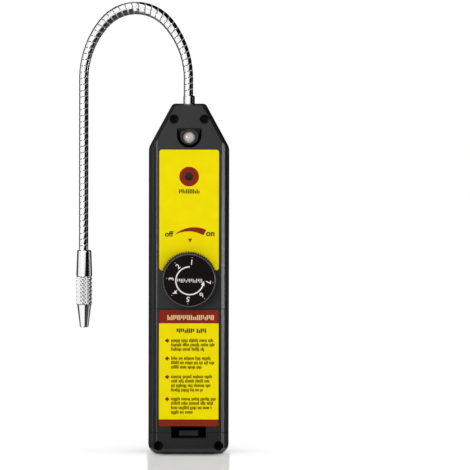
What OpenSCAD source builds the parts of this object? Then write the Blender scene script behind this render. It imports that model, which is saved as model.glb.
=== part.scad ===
// Refrigerant leak detector: a two-shell hand case with a sensitivity knob, a battery bay
// behind a snap door, and a gooseneck that carries the sensing probe.
// Frame in millimetres: +X to the right, the front faces -Y, +Z up, origin at the middle of the base.

/* [Case] */
// Width of the case
case_w = 46; // [45:0.5:56]
// Depth of the case from front to back
case_d = 33; // [32:0.5:42]
// Height of the case
case_h = 200; // [197:1:225]
// Width of the flat top between the slanted shoulders
top_w = 18.8; // [17.6:0.2:22]
// Height of the slanted shoulders
shoulder_h = 25; // [22:0.5:30]
// Thickness of the moulded walls
wall = 2.2; // [1.8:0.1:2.6]
// How far the bevel round the front comes in from the sides
bevel_in = 4.8; // [4:0.1:5.4]
// How far the bevel round the front goes back
bevel_d = 7.5; // [6:0.5:8]
// Share of that bevel that runs on along the shoulders
shoulder_share = 0.5; // [0.4:0.05:1]
// Share of that bevel that is left along the flat top
top_share = 0.25; // [0.2:0.05:1]
// Rounding of the corners at the base
base_r = 5; // [2:0.5:6]
// Rounding of the shoulders
shoulder_r = 8; // [4:0.5:12]
// Rounding beside the flat top
top_r = 2.5; // [1:0.5:4]

/* [Case screws] */
// Distance of the top screws from the middle line
top_screw_x = 8.6; // [8.4:0.1:9]
// Distance of the top screws below the top
top_screw_drop = 8.9; // [8.4:0.1:10]
// Distance of the base screws in from the sides
base_screw_in = 5.8; // [5:0.1:7]
// Height of the base screws
base_screw_z = 4.7; // [4.6:0.1:5.4]
// Diameter of the screw shank
screw_d = 2.9; // [2.5:0.1:3.2]
// Diameter of the screw head
screw_head_d = 5; // [4.4:0.1:5.2]
// Thickness of the screw head
screw_head_t = 1.9; // [1.4:0.1:2.4]
// Depth of the head's seat below the front face
screw_seat = 8; // [7:0.1:9]

/* [Battery bay and door] */
// Height of the seam below the door
door_z = 12; // [11.5:0.5:16]
// Height of the door opening
door_h = 71; // [69:0.5:76]
// How far the door wraps back round the bevels
door_wrap = 8.5; // [8:0.5:10]
// Gap of the seam round the door
seam = 0.25; // [0.15:0.05:0.4]
// Thickness of the bay's walls
bay_wall = 1.6; // [1.2:0.1:2]
// Width of the battery
battery_w = 26.5; // [24:0.5:28]
// Depth of the battery
battery_d = 17.5; // [16.5:0.5:18]
// Height of the battery without its terminals
battery_h = 46.4; // [44:0.2:48]
// Width of the latch recess
latch_w = 20; // [16:0.5:24]
// Height of the latch recess
latch_h = 7; // [6:0.2:8]
// Depth of the latch recess
latch_d = 6; // [3.4:0.1:6.4]

/* [Knob] */
// Diameter of the knurled skirt
skirt_d = 32.4; // [31.8:0.2:33]
// Diameter of the raised face
face_d = 30.6; // [30.2:0.2:31]
// Height of the knob above the front
knob_t = 7; // [6:0.5:9]
// Diameter of the dial plate set into the face
dial_d = 28.6; // [25:0.2:28.8]
// Number of knurls round the skirt
knurls = 72; // [48:1:84]
// Diameter of the control shaft
shaft_d = 6; // [5:0.2:6.4]

/* [Front panel] */
// Width of the labels
label_w = 34; // [30:0.5:35]
// Thickness of the labels
label_t = 0.35; // [0.25:0.05:0.5]
// Distance of the front label's top below the top of the case
label_drop = 26.3; // [26:0.1:30]
// Diameter of the sounder's hole
sound_d = 4.6; // [3:0.2:6]
// Distance of the sounder below the top of the case
sound_drop = 41.6; // [40:0.2:44]
// Distance of the alarm lamp below the top of the case
lamp_drop = 19.3; // [19:0.1:20]
// Diameter of the lamp's lens
lens_d = 6.8; // [6.2:0.1:7.4]
// Width of the scoop round the lamp
scoop_w = 14; // [13.4:0.2:15]
// Depth of the scoop at its lower end
scoop_d = 5; // [4:0.2:5.4]

/* [Gooseneck] */
// Diameter of the gooseneck over its turns
neck_d = 5.3; // [4.8:0.1:5.4]
// Distance between the two legs of the arch
neck_span = 60; // [54:1:80]
// Height of the straight start above the case
neck_rise = 14; // [10:0.5:24]
// Radius of the arch at its sides
side_r = 50; // [42:1:60]
// Angle of the arch's side stretches
side_angle = 40; // [30:1:46]
// Pitch of the wound turns
neck_pitch = 3.55; // [3.4:0.05:5]
// Diameter of the ferrule on the case
ferrule_d = 6.6; // [6.5:0.1:7.4]
// Height of the ferrule above the case
ferrule_h = 4.6; // [4:0.2:7]

/* [Probe] */
// Height of the sleeve's upper end
sleeve_top = 115.8; // [110:0.2:130]
// Length of the sleeve
sleeve_h = 14.8; // [13:0.2:20]
// Diameter of the sleeve at its upper end
sleeve_top_d = 8.2; // [7.8:0.1:8.8]
// Diameter of the knurled grip
grip_d = 9.2; // [8.8:0.1:10.4]
// Length of the knurled grip
grip_h = 16.5; // [15:0.5:20]
// Length of the tapered nose
nose_h = 13; // [10:0.5:16]
// Diameter of the nose at its open end
nose_d = 5; // [4.6:0.1:6]
// Diameter of the inlet hole
inlet_d = 3; // [2:0.1:3.4]

/* [Hidden] */
$fn = 48;

black = [0.13, 0.13, 0.14];
yellow = [0.94, 0.86, 0.05];
chrome = [0.8, 0.8, 0.82];
steel = [0.6, 0.6, 0.62];
green = [0.1, 0.4, 0.22];

// Clearances and the overlap by which a cut passes a face
slack = 0.15;
shaft_fit = 0.05;
running = 0.3;
past = 1;
sink = 0.2;

// Faces of the case
front_y = -case_d / 2;
back_y = case_d / 2;
inner_x = case_w / 2 - wall;
slant = atan2(case_w / 2 - top_w / 2, shoulder_h);
seam_groove = 0.3;

// Flat band between the front and the bevel: how far it has come in and gone back at each edge
edge_in = [0, 0.35, 2.1, 2.6];
edge_back = [0, 0.1, 1.55, 2.3];
base_bevel = 1.2;
// Rounded back: distance from the back, then how far the sides and the base have come in there
back_edge = [[0, 5, 2], [1, 2.8, 0.9], [3, 1.2, 0.3], [6.5, 0.3, 0]];

// Openings of the door and the bay
door_top = door_z + door_h;
door_back_y = front_y + door_wrap;
bay_front_x = inner_x;
bay_x = inner_x - 2 * running - bay_wall;
battery_clear = 0.8;
battery_front_y = front_y + wall + battery_clear;
bay_floor_y = battery_front_y + battery_d + running;
bay_block_z0 = door_z - bay_wall;
bay_block_z1 = door_top + bay_wall;
lead_hole = [6.5, -3.5];
lead_hole_d = 5;

// Latch: a recess across the lower seam with a tongue of the door in it
latch_z0 = door_z - 0.43 * latch_h;
latch_floor_y = front_y + latch_d;
latch_back_t = 1.6;
tongue_w = latch_w * 0.55;
tongue_drop = 1.9;
tongue_h = 3;
tongue_t = 1.8;
tongue_gap = 0.6;

// Battery, standing on ribs above the latch, and the snap on its terminals
latch_clear = 0.5;
battery_z0 = latch_z0 + latch_h + latch_back_t + latch_clear;
battery_z1 = battery_z0 + battery_h;
battery_mid_y = battery_front_y + battery_d / 2;
terminals = [[-6.35, 5.7], [6.35, 8]];
terminal_h = 2.1;
snap_w = 25;
snap_t = 4.6;
snap_z1 = battery_z1 + slack + snap_t;
rib_t = 1.2;
rib_h = 8;

// Hooks along the door's upper edge
hook_x = 11;
hook_w = 7;
hook_h = 1.3;
hook_t = 1.2;
hook_root = 3;

// Screws and their bosses
boss_wall = 0.9;
boss_r = screw_head_d / 2 + slack + boss_wall;
seat_y = front_y + screw_seat;
screw_reach = 9;
// Length and width of the cross slot as shares of the head
slot_l = 0.6;
slot_w = 0.14;
case_screw_places = [for (s = [-1, 1])
    each [[s * top_screw_x, case_h - top_screw_drop], [s * (case_w / 2 - base_screw_in), base_screw_z]]];

// Knob, its dial and the control behind it
knob_gap = running;
knob_z = door_top + skirt_d / 2 + running;
knob_back_y = front_y - knob_gap;
knob_front_y = front_y - knob_t;
face_rise = 1.5;
dial_recess = 0.5;
dial_t = 0.4;
hub_wall = 2.5;
hub_d = shaft_d + 2 * hub_wall;
knob_plate = 2.2;
knob_wall = 1.6;
face_edge = 0.6;
skirt_knurl = 0.6;

// Board and what stands on it
board_t = 1.6;
board_set_back = 16.3;
board_margin = 3.8;
board_gap = 3;
board_rise = 12;
tongue_rise = 6;
board_y = front_y + wall + board_set_back;
board_w = case_w - 2 * (wall + board_margin);
board_z0 = bay_block_z1 + board_gap;
lamp_z = case_h - lamp_drop;
sound_z = case_h - sound_drop;
board_z1 = sound_z + board_rise;
board_top = lamp_z + tongue_rise;
board_tongue_w = 18;
board_screw_in = 4;
board_screw_d = 2.4;
board_screw_head_d = 4.4;
board_screw_head_t = 1.5;
board_screw_reach = 6;
board_screw_places = [for (s = [-1, 1]) each [for (z = [board_z0 + board_screw_in, board_z1 - board_screw_in])
    [s * (board_w / 2 - board_screw_in), z]]];
pot_d = 20;
pot_t = 9;
pot_front_y = board_y - pot_t;
pot_lug_w = 1.6;
pot_lug_step = 3.4;
pot_lug_out = 1.5;
pot_lug_t = 1;
shaft_in = 4;
bushing_y = front_y + 0.7 * wall;
bushing_wall = 0.7;
bushing_d = shaft_d + 2 * bushing_wall;
buzzer_d = 15;
buzzer_t = 8;
buzzer_port_d = 2;
buzzer_port = 1;
duct_wall = 1.5;
duct_room = 2;
duct_d = sound_d + 2 * duct_room;

// Components in a block midway between the control and the sounder
part_edge = 1.5;
parts_z = (knob_z + pot_d / 2 + sound_z - buzzer_d / 2) / 2;
transformer_w = 13;
transformer_l = 14;
transformer_base = 2;
core_w = 12;
core_l = 5;
core_h = 12;
coil_d = 11;
coil_h = 10;
transformer_x = part_edge + transformer_w / 2 - board_w / 2;
chip_w = 6.4;
chip_h = 4;
chip_lift = 0.6;
chip_end = 0.75;
pin_pitch = 2.54;
pin_w = 0.6;
pin_t = 0.5;
pin_h = 2.4;
pin_out = 0.2;
chip_half = chip_w / 2 + pin_out + pin_w / 2;
chip_x = board_w / 2 - part_edge - chip_half;
large_chip_pins = 7;
small_chip_pins = 4;
small_chip_drop = 1.5;
small_chip_gap = 0.6;
small_chip_x = buzzer_d / 2 + small_chip_gap + chip_half;
capacitor_d = [7, 6.3];
capacitor_h = [11, 9];
capacitor_gap = 0.7;
capacitor_x = (transformer_x + transformer_w / 2 + chip_x - chip_half) / 2;

// Components that stand beside and above the sounder
transistor_d = 4.8;
transistor_h = 7;
transistor_flat = 1.4;
transistor_x = part_edge + transistor_d / 2 - board_w / 2;
resistor_d = 2.3;
resistor_l = 6;
resistor_pitch = 2.8;
resistor_count = 4;
resistor_gap = 1.5;
resistor_lift = 1.3;
resistor_z = sound_z + buzzer_d / 2 + resistor_gap + resistor_d / 2;
wire_t = 0.5;
wire_out = 1.4;

// Lamp: a scoop in the front, a flat seat behind its floor, the lens and the lamp inside it
scoop_r = scoop_w / 2;
scoop_lift = 1.1;
scoop_top = 5.2;
scoop_run = 2.5;
scoop_bend = 0.6;
scoop_z = lamp_z + scoop_lift;
scoop_z0 = scoop_z - scoop_r;
scoop_z1 = scoop_z + scoop_top;
scoop_bend_z = scoop_z1 - scoop_run;
scoop_bend_y = front_y + scoop_bend * scoop_d;
scoop_wall = 1.5;
collar_wall = 1.3;
collar_drop = 1.2;
collar_step = 0.9;
collar_gap = 0.7;
collar_d = lens_d + 2 * (collar_gap + collar_wall);
lens_seat_t = 1;
lens_seat_rim = 0.5;
lens_seat_y = front_y + scoop_d + scoop_wall + lens_seat_t;
lens_flange = 1;
lens_flange_out = 1.1;
lens_flange_d = lens_d + 2 * lens_flange_out;
lens_drop = 0.5;
seat_gap = 0.05;
led_d = 5;
led_in = 4.2;
led_nose = 0.8;
led_rim = 0.4;
led_rim_t = 1;
led_pitch = 2.54;
led_leg = 0.5;
lens_back_y = lens_seat_y + lens_flange + seat_gap;
lens_front_y = front_y + lens_drop;

// Labels and their pockets
pocket_d = label_t + seat_gap;
label_under = 1.2;
hole_edge = 0.2;
front_label_rise = 5.5;
front_label_z0 = knob_z + front_label_rise;
front_label_z1 = case_h - label_drop;
door_label_rise = 3.9;
door_label_drop = 0.6;
door_label_z0 = door_z + door_label_rise;
door_label_z1 = door_top - seam - door_label_drop;
label_r = 1.5;

// Gooseneck arch, worked out from its span and its side stretches
top_arc_r = side_r - (side_r - neck_span / 2) / cos(side_angle);
spring_z = case_h + neck_rise;
top_arc_z = spring_z + (side_r - neck_span / 2) * tan(side_angle);
top_arc_len = top_arc_r * (90 - side_angle) * PI / 180;
side_arc_len = side_r * side_angle * PI / 180;
arch_half = top_arc_len + side_arc_len;
neck_foot = 1.6;
neck_foot_z = case_h + neck_foot;
neck_end_depth = 7;
neck_start = -(arch_half + spring_z - neck_foot_z);
neck_end = arch_half + spring_z - (sleeve_top - neck_end_depth);
neck_sides = 14;
neck_groove = 0.55;
// Where each turn's groove and crest lie along its pitch
turn_steps = [0, 0.22, 0.78];
turn_rows = len(turn_steps);
neck_turns = floor((neck_end - neck_start) / neck_pitch) - 1;

// Ferrule that the two shells hold in the top of the case
flange_t = 2.5;
flange_out = 1.4;
flange_r = ferrule_d / 2 + flange_out;
flange_z1 = case_h - wall - seat_gap;
shelf_z1 = flange_z1 - flange_t - seat_gap;
shelf_t = 2.4;
lead_room_d = 4;
ferrule_top = case_h + ferrule_h;
ferrule_edge = 0.4;

// Probe, from its sleeve down to the open nose
probe_x = -neck_span;
sleeve_z0 = sleeve_top - sleeve_h;
grip_z0 = sleeve_z0 - grip_h;
nose_z0 = grip_z0 - nose_h;
stub_d = 6;
stub_h = 8;
sensor_d = 4.2;
sensor_h = 8;
knurl_depth = 0.4;
knurl_count = 36;
knurl_rows = 15;
sensor_pin = 1.5;
sensor_pin_d = 1;
sensor_room = 1;
tip_bore_z = sleeve_z0 - stub_h - sensor_h - sensor_pin - sensor_room;
nose_edge = 0.5;
nose_step = 0.1;
nose_root_d = grip_d - 2 * (knurl_depth + nose_step);
grip_edge = 0.4;
// Rows of the tip's skin from the open nose up: height, radius and depth of the knurl's pits
tip_rows = [
    [nose_z0, nose_d / 2 - nose_edge, 0], [nose_z0 + nose_edge, nose_d / 2, 0], [grip_z0, nose_root_d / 2, 0],
    for (i = [0:knurl_rows]) [grip_z0 + grip_edge + (grip_h - slack - 2 * grip_edge) * i / knurl_rows,
        grip_d / 2, knurl_depth],
    [sleeve_z0 - slack, nose_root_d / 2, 0]];

// Thickness of the leads
lead_d = 1.4;

// General shapes

function unit(v) = v / norm(v);

// One corner of an outline, rounded to radius r with an arc of points
function fillet(a, b, c, r, steps) =
    let (u = unit(a - b), v = unit(c - b), half = acos(u * v) / 2,
        centre = b + unit(u + v) * r / sin(half), from = b + u * r / tan(half) - centre,
        start = atan2(from[1], from[0]))
    [for (k = [0:steps]) centre + r * [cos(start + (180 - 2 * half) * k / steps),
        sin(start + (180 - 2 * half) * k / steps)]];

// A closed outline with each corner rounded to its own radius
function rounded(pts, radii, steps) =
    let (n = len(pts))
    [for (i = [0:n - 1]) each fillet(pts[(i + n - 1) % n], pts[i], pts[(i + 1) % n], radii[i], steps)];

// Skin over rings of equally many points, each counter-clockwise as seen from the last ring's side
module loft(rings) {
    n = len(rings[0]);
    last = len(rings) - 1;
    polyhedron(
        points = [for (ring = rings) each ring],
        faces = [
            [for (k = [0:n - 1]) k],
            for (i = [0:last - 1]) for (k = [0:n - 1])
                [i * n + k, (i + 1) * n + k, (i + 1) * n + (k + 1) % n, i * n + (k + 1) % n],
            [for (k = [n - 1:-1:0]) last * n + k]
        ]);
}

// An outline in x and z, made solid between two places along y
module along_y(y0, y1) {
    translate([0, y1, 0]) rotate([90, 0, 0]) linear_extrude(y1 - y0) children();
}

// An outline in y and z, made solid across the width w
module across_x(w) {
    translate([-w / 2, 0, 0]) rotate([90, 0, 90]) linear_extrude(w) children();
}

// A round bar along y
module bar_y(x, z, d, y0, y1) {
    along_y(y0, y1) translate([x, z]) circle(d = d);
}

// A box between two corners
module box(low, high) {
    translate(low) cube(high - low);
}

// A rectangle between two corners with round corners
module round_rect(low, high, r) {
    translate(low + [r, 0]) square(high - low - [2 * r, 0]);
    translate(low + [0, r]) square(high - low - [0, 2 * r]);
    for (x = [low[0] + r, high[0] - r], z = [low[1] + r, high[1] - r]) translate([x, z]) circle(r);
}

// A round wire along a route of points
module tube(route, d, sides = 8, across = [0, 1, 0]) {
    last = len(route) - 1;
    loft([for (i = [0:last])
        let (t = unit(route[min(i + 1, last)] - route[max(i - 1, 0)]),
            u = unit(cross(t, across)), v = cross(t, u))
        [for (k = [0:sides - 1]) route[i] + d / 2 * (cos(360 * k / sides) * u + sin(360 * k / sides) * v)]]);
}

// Case outline in x and z, brought in by inset at the sides, by foot at the base, by slope at the
// shoulders and by head at the flat top
function case_corners(inset, foot, slope, head) =
    let (x = case_w / 2 - inset, top_z = case_h - head,
        shoulder_z = case_h - shoulder_h + (inset * cos(slant) - slope) / sin(slant),
        top_x = top_w / 2 + (head * sin(slant) - slope) / cos(slant))
    [[x, foot], [x, shoulder_z], [top_x, top_z], [-top_x, top_z], [-x, shoulder_z], [-x, foot]];

function edge_ring(y, inset, foot, slope, head) =
    let (radii = [for (r = [base_r, shoulder_r, top_r, top_r, shoulder_r, base_r]) max(0.5, r - inset)])
    [for (p = rounded(case_corners(inset, foot, slope, head), radii, 4)) [p[0], y, p[1]]];

function case_ring(y, inset, foot) = edge_ring(y, inset, foot, inset, inset);

// The base stays flat until the rounded edge of the front
function front_ring(y, inset) =
    edge_ring(y, inset, base_bevel * max(0, inset - bevel_in + edge_in[3]) / edge_in[3],
        inset * shoulder_share, inset * top_share);

// Outer form of the front half, from the split plane to the front face
module front_form() {
    loft([
        case_ring(0, seam_groove, 0),
        front_ring(-seam_groove, 0),
        front_ring(front_y + bevel_d, 0),
        for (k = [3:-1:0]) front_ring(front_y + edge_back[k], bevel_in - edge_in[k])
    ]);
}

module front_cavity() {
    loft([
        case_ring(past, wall, wall),
        case_ring(front_y + bevel_d + 0.25 * wall, wall, wall),
        case_ring(front_y + wall, bevel_in + 0.2 * wall, wall)
    ]);
}

// Outer form of the rear half, from the back to the split plane
module rear_form() {
    loft([
        for (step = back_edge) case_ring(back_y - step[0], step[1], step[2]),
        case_ring(seam_groove, 0, 0),
        case_ring(0, seam_groove, 0)
    ]);
}

module rear_cavity() {
    loft([
        for (step = [for (k = [1:3]) back_edge[k]])
            case_ring(back_y - wall - step[0] + back_edge[1][0], wall + step[1], wall + step[2]),
        case_ring(-past, wall, wall)
    ]);
}

// Case pieces

// Door-shaped block of the case, made smaller all round by gap
module door_block(gap) {
    box([-case_w, front_y - past, door_z + gap], [case_w, door_back_y - gap, door_top - gap]);
}

// The space that the battery and its snap take up
module bay() {
    box([-bay_front_x, front_y - past, door_z], [bay_front_x, -bay_wall, door_top]);
    box([-bay_x, front_y, door_z], [bay_x, bay_floor_y, door_top]);
}

// Walls of the bay behind the split plane, inside the rear shell
module tray() {
    box([-bay_x - bay_wall, -bay_wall, bay_block_z0],
        [bay_x + bay_wall, bay_floor_y + bay_wall, bay_block_z1]);
}

// Ribs on the floor of the bay: two beside the battery and two below it
module battery_ribs() {
    for (s = [-1, 1]) {
        translate([s * (battery_w / 2 + running + rib_t / 2), bay_floor_y + sink - rib_h / 2,
            battery_z0 + battery_h / 2])
            cube([rib_t, rib_h, battery_h], center = true);
        translate([s * battery_w / 4, bay_floor_y + sink - rib_h / 2, (door_z + battery_z0) / 2 - sink])
            cube([rib_t, rib_h, battery_z0 - door_z], center = true);
    }
}

// The U-shaped outline of the lamp's scoop
module scoop_outline(r) {
    translate([0, scoop_z]) circle(r);
    translate([-r, scoop_z]) square([2 * r, r]);
}

// The scoop: its floor drops from the face at the top to a bend, slopes on to its full depth at the lower
// end, and a stepped collar stands on it round the lens
module scoop() {
    difference() {
        intersection() {
            along_y(front_y - past, 0) scoop_outline(scoop_r);
            across_x(case_w) polygon([
                [front_y - past, scoop_z0 - past], [front_y - past, scoop_z1], [front_y, scoop_z1],
                [scoop_bend_y, scoop_bend_z], [front_y + scoop_d, scoop_z0],
                [front_y + scoop_d, scoop_z0 - past]]);
        }
        bar_y(0, lamp_z, collar_d, front_y + collar_drop, 0);
    }
    bar_y(0, lamp_z, lens_d + 2 * collar_gap, front_y - past, front_y + collar_drop + collar_step);
}

// Wall behind the scoop, with a flat round seat for the lens
module scoop_back() {
    intersection() {
        along_y(front_y + sink, 0) scoop_outline(scoop_r + scoop_wall);
        across_x(case_w) polygon([
            [front_y + sink, scoop_z0 - scoop_wall], [front_y + sink, scoop_z1],
            [front_y + wall + sink, scoop_z1], [scoop_bend_y + scoop_wall, scoop_bend_z],
            [front_y + scoop_d + scoop_wall, scoop_z0],
            [front_y + scoop_d + scoop_wall, scoop_z0 - scoop_wall]]);
    }
    bar_y(0, lamp_z, lens_flange_d + 2 * lens_seat_rim, front_y + wall, lens_seat_y);
}

// Shelf under the ferrule's flange, with room for the leads
module neck_shelf() {
    box([-top_screw_x, front_y, shelf_z1 - shelf_t], [top_screw_x, back_y, shelf_z1]);
}

// What the neck's ferrule and leads pass through
module neck_hole() {
    translate([0, 0, shelf_z1 - shelf_t - past]) cylinder(h = shelf_t + 2 * past, d = lead_room_d);
    translate([0, 0, shelf_z1]) cylinder(h = case_h - wall - shelf_z1, r = flange_r + slack);
    translate([0, 0, shelf_z1]) cylinder(h = case_h + past - shelf_z1, d = ferrule_d + 2 * slack);
}

// Front label outline in x and z, grown by grow, with an arc cut out under the knob's edge
module front_label_outline(grow) {
    difference() {
        round_rect([-label_w / 2 - grow, front_label_z0 - grow], [label_w / 2 + grow, front_label_z1 + grow],
            label_r + grow);
        translate([0, knob_z]) circle(skirt_d / 2 - label_under - grow, $fn = 96);
    }
}

module door_label_outline(grow) {
    round_rect([-label_w / 2 - grow, door_label_z0 - grow], [label_w / 2 + grow, door_label_z1 + grow],
        label_r + grow);
}

module front_shell() color(black) {
    front_moulding();
    battery_ribs();
}

module front_moulding() difference() {
    union() {
        difference() {
            front_form();
            front_cavity();
        }
        intersection() {
            front_form();
            union() {
                box([-case_w, front_y, bay_block_z0], [case_w, 0, bay_block_z1]);
                box([-latch_w / 2 - latch_back_t, front_y, latch_z0 - latch_back_t],
                    [latch_w / 2 + latch_back_t, latch_floor_y + latch_back_t, door_z]);
                for (p = case_screw_places) bar_y(p[0], p[1], 2 * boss_r, front_y, 0);
                scoop_back();
                neck_shelf();
            }
        }
        bar_y(0, sound_z, duct_d + 2 * duct_wall, front_y + wall - sink, board_y - buzzer_t - running);
        tray();
    }
    door_block(0);
    bay();
    box([-latch_w / 2, front_y - past, latch_z0], [latch_w / 2, latch_floor_y, door_z + past]);
    for (s = [-1, 1]) box([s * hook_x - hook_w / 2 - running, front_y + wall, door_top - past],
        [s * hook_x + hook_w / 2 + running, front_y + wall + 4 * hook_t, bay_block_z1 + past]);
    translate([lead_hole[0], lead_hole[1], door_top - past])
        cylinder(h = bay_wall + 2 * past, d = lead_hole_d);
    along_y(front_y - past, front_y + pocket_d) front_label_outline(running);
    scoop();
    bar_y(0, lamp_z, lens_d + 2 * slack, front_y - past, 0);
    bar_y(0, sound_z, sound_d, front_y - past, 0);
    bar_y(0, sound_z, duct_d, front_y + wall, 0);
    bar_y(0, knob_z, bushing_d + 2 * slack, front_y - past, 0);
    neck_hole();
    for (p = case_screw_places) {
        bar_y(p[0], p[1], screw_d + 2 * slack, front_y, past);
        bar_y(p[0], p[1], screw_head_d + 2 * slack, front_y - past, seat_y);
    }
}

module rear_shell() color(black) difference() {
    union() {
        difference() {
            rear_form();
            rear_cavity();
        }
        intersection() {
            rear_form();
            union() {
                for (p = case_screw_places) bar_y(p[0], p[1], 2 * boss_r, 0, back_y);
                for (p = board_screw_places) bar_y(p[0], p[1], 2 * boss_r, board_y + board_t, back_y);
                neck_shelf();
            }
        }
    }
    neck_hole();
    for (p = case_screw_places) bar_y(p[0], p[1], screw_d + 2 * slack, -past, screw_reach + past);
    for (p = board_screw_places)
        bar_y(p[0], p[1], board_screw_d + 2 * slack, board_y, board_y + board_t + board_screw_reach + past);
}

// Inside of the door, a wall's thickness behind its outer form
module door_cavity() {
    difference() {
        front_cavity();
        box([-latch_w / 2 - latch_back_t, front_y, door_z],
            [latch_w / 2 + latch_back_t, latch_floor_y + latch_back_t, latch_z0 + latch_h + latch_back_t]);
    }
}

// Turned inwards far enough to swing out past the lower seam
module door_swing() {
    translate([0, front_y, door_top]) rotate([0, 90, 0])
        cylinder(h = 2 * case_w, r = door_h - seam, center = true, $fn = 180);
}

module battery_door() color(black) {
    difference() {
        intersection() {
            difference() {
                front_form();
                door_cavity();
            }
            door_block(seam);
            door_swing();
        }
        box([-latch_w / 2, front_y - past, door_z], [latch_w / 2, latch_floor_y, latch_z0 + latch_h]);
        along_y(front_y - past, front_y + pocket_d) door_label_outline(running);
    }
    // Latch tongue, rooted on the floor of the recess
    box([-tongue_w / 2, latch_floor_y - tongue_gap - tongue_t, door_z - tongue_drop],
        [tongue_w / 2, latch_floor_y - tongue_gap, door_z - tongue_drop + tongue_h]);
    box([-tongue_w / 2, latch_floor_y - tongue_gap - sink, door_z + seam],
        [tongue_w / 2, latch_floor_y + sink, door_z - tongue_drop + tongue_h]);
    // Hooks that reach behind the upper edge of the opening
    for (s = [-1, 1]) {
        box([s * hook_x - hook_w / 2, front_y + wall + slack, door_top - hook_root],
            [s * hook_x + hook_w / 2, front_y + wall + slack + hook_t, door_top + hook_h]);
        box([s * hook_x - hook_w / 2, front_y + wall - sink, door_top - hook_root],
            [s * hook_x + hook_w / 2, front_y + wall + slack + hook_t, door_top - seam]);
    }
}

module front_label() color(yellow) difference() {
    along_y(front_y + pocket_d - label_t, front_y + pocket_d) front_label_outline(0);
    bar_y(0, sound_z, sound_d + 2 * hole_edge, front_y - past, 0);
}

module door_label() color(yellow)
    along_y(front_y + pocket_d - label_t, front_y + pocket_d) door_label_outline(0);

// A round-headed screw that points to +Y, with its head's seat at y
module screw(p, y, d, head_d, head_t, reach) {
    difference() {
        bar_y(p[0], p[1], head_d, y - head_t, y);
        for (turn = [0, 90]) translate([p[0], y - head_t, p[1]]) rotate([0, turn, 0])
            cube([head_d * slot_l, head_t, head_d * slot_w], center = true);
    }
    bar_y(p[0], p[1], d, y - sink, reach);
}

module case_screws() color(steel)
    for (p = case_screw_places) screw(p, seat_y, screw_d, screw_head_d, screw_head_t, screw_reach);

module board_screws() color(steel)
    for (p = board_screw_places) screw(p, board_y, board_screw_d, board_screw_head_d, board_screw_head_t,
        board_y + board_t + board_screw_reach);

// Knob and control

// Outline of the skirt, with a row of small flat-topped knurls
module skirt_outline() {
    translate([0, knob_z]) polygon([for (i = [0:knurls - 1]) each
        [for (step = [[0, 0], [0.3, 0], [0.5, skirt_knurl], [0.8, skirt_knurl]])
            let (turn = 360 * (i + step[0]) / knurls) (skirt_d / 2 - step[1]) * [cos(turn), sin(turn)]]]);
}

module knob() color(black) difference() {
    union() {
        along_y(knob_front_y + face_rise, knob_back_y) skirt_outline();
        translate([0, knob_back_y, knob_z]) rotate([90, 0, 0]) rotate_extrude($fn = 96)
            let (h = knob_back_y - knob_front_y, r = face_d / 2)
                polygon([[0, 0], [r, 0], [r, h - face_edge], [r - face_edge, h], [0, h]]);
    }
    // Hollow underside round the hub
    difference() {
        bar_y(0, knob_z, face_d - 2 * knob_wall, knob_front_y + knob_plate, knob_back_y + past);
        bar_y(0, knob_z, hub_d, knob_front_y, knob_back_y + 2 * past);
    }
    bar_y(0, knob_z, shaft_d + 2 * shaft_fit, knob_front_y + knob_plate, knob_back_y + past);
    bar_y(0, knob_z, dial_d + 2 * slack, knob_front_y - past, knob_front_y + dial_recess);
}

module dial_plate() color(black)
    bar_y(0, knob_z, dial_d, knob_front_y + dial_recess - dial_t, knob_front_y + dial_recess);

module pot_shaft() color(steel)
    bar_y(0, knob_z, shaft_d, knob_front_y + knob_plate + slack, pot_front_y + shaft_in - running);

module potentiometer() color(steel) difference() {
    union() {
        bar_y(0, knob_z, pot_d, pot_front_y, board_y);
        bar_y(0, knob_z, bushing_d, bushing_y, pot_front_y + sink);
        for (k = [-1:1])
            box([k * pot_lug_step - pot_lug_w / 2, board_y - pot_lug_t, knob_z - pot_d / 2 - pot_lug_out],
                [k * pot_lug_step + pot_lug_w / 2, board_y, knob_z - pot_d / 4]);
    }
    bar_y(0, knob_z, shaft_d + 2 * shaft_fit, bushing_y - past, pot_front_y + shaft_in);
}

// Lamp and sounder

// A turned piece whose axis points forward from y, from half its section
module turned_y(y, z) {
    translate([0, y, z]) rotate([90, 0, 0]) rotate_extrude() children();
}

// Half section of a round-nosed pin that stands on a flange
module round_pin(d, h, flange_d, flange_t) {
    r = d / 2;
    polygon(concat([[0, 0], [flange_d / 2, 0], [flange_d / 2, flange_t], [r, flange_t]],
        [for (a = [0:15:90]) [r * cos(a), h - r * 0.7 + r * 0.7 * sin(a)]]));
}

module alarm_lens() color([0.9, 0.88, 0.86]) difference() {
    turned_y(lens_back_y, lamp_z) round_pin(lens_d, lens_back_y - lens_front_y, lens_flange_d, lens_flange);
    bar_y(0, lamp_z, led_d + 2 * slack, lens_back_y - led_in, lens_back_y + past);
}

module alarm_led() color([0.8, 0.15, 0.1]) {
    led_back_y = lens_back_y + running + led_rim_t;
    turned_y(led_back_y, lamp_z) round_pin(led_d, led_in + led_nose, led_d + 2 * led_rim, led_rim_t);
    for (s = [-1, 1]) box([s * led_pitch / 2 - led_leg / 2, led_back_y - sink, lamp_z - led_leg / 2],
        [s * led_pitch / 2 + led_leg / 2, board_y, lamp_z + led_leg / 2]);
}

module buzzer() color(black) difference() {
    bar_y(0, sound_z, buzzer_d, board_y - buzzer_t, board_y);
    bar_y(0, sound_z, buzzer_port_d, board_y - buzzer_t - past, board_y - buzzer_t + buzzer_port);
}

// Board and its components

module main_board() color(green) along_y(board_y, board_y + board_t) difference() {
    union() {
        translate([-board_w / 2, board_z0]) square([board_w, board_z1 - board_z0]);
        translate([-board_tongue_w / 2, board_z0]) square([board_tongue_w, board_top - board_z0]);
    }
    for (p = board_screw_places) translate(p) circle(d = board_screw_d + 2 * slack);
}

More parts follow.
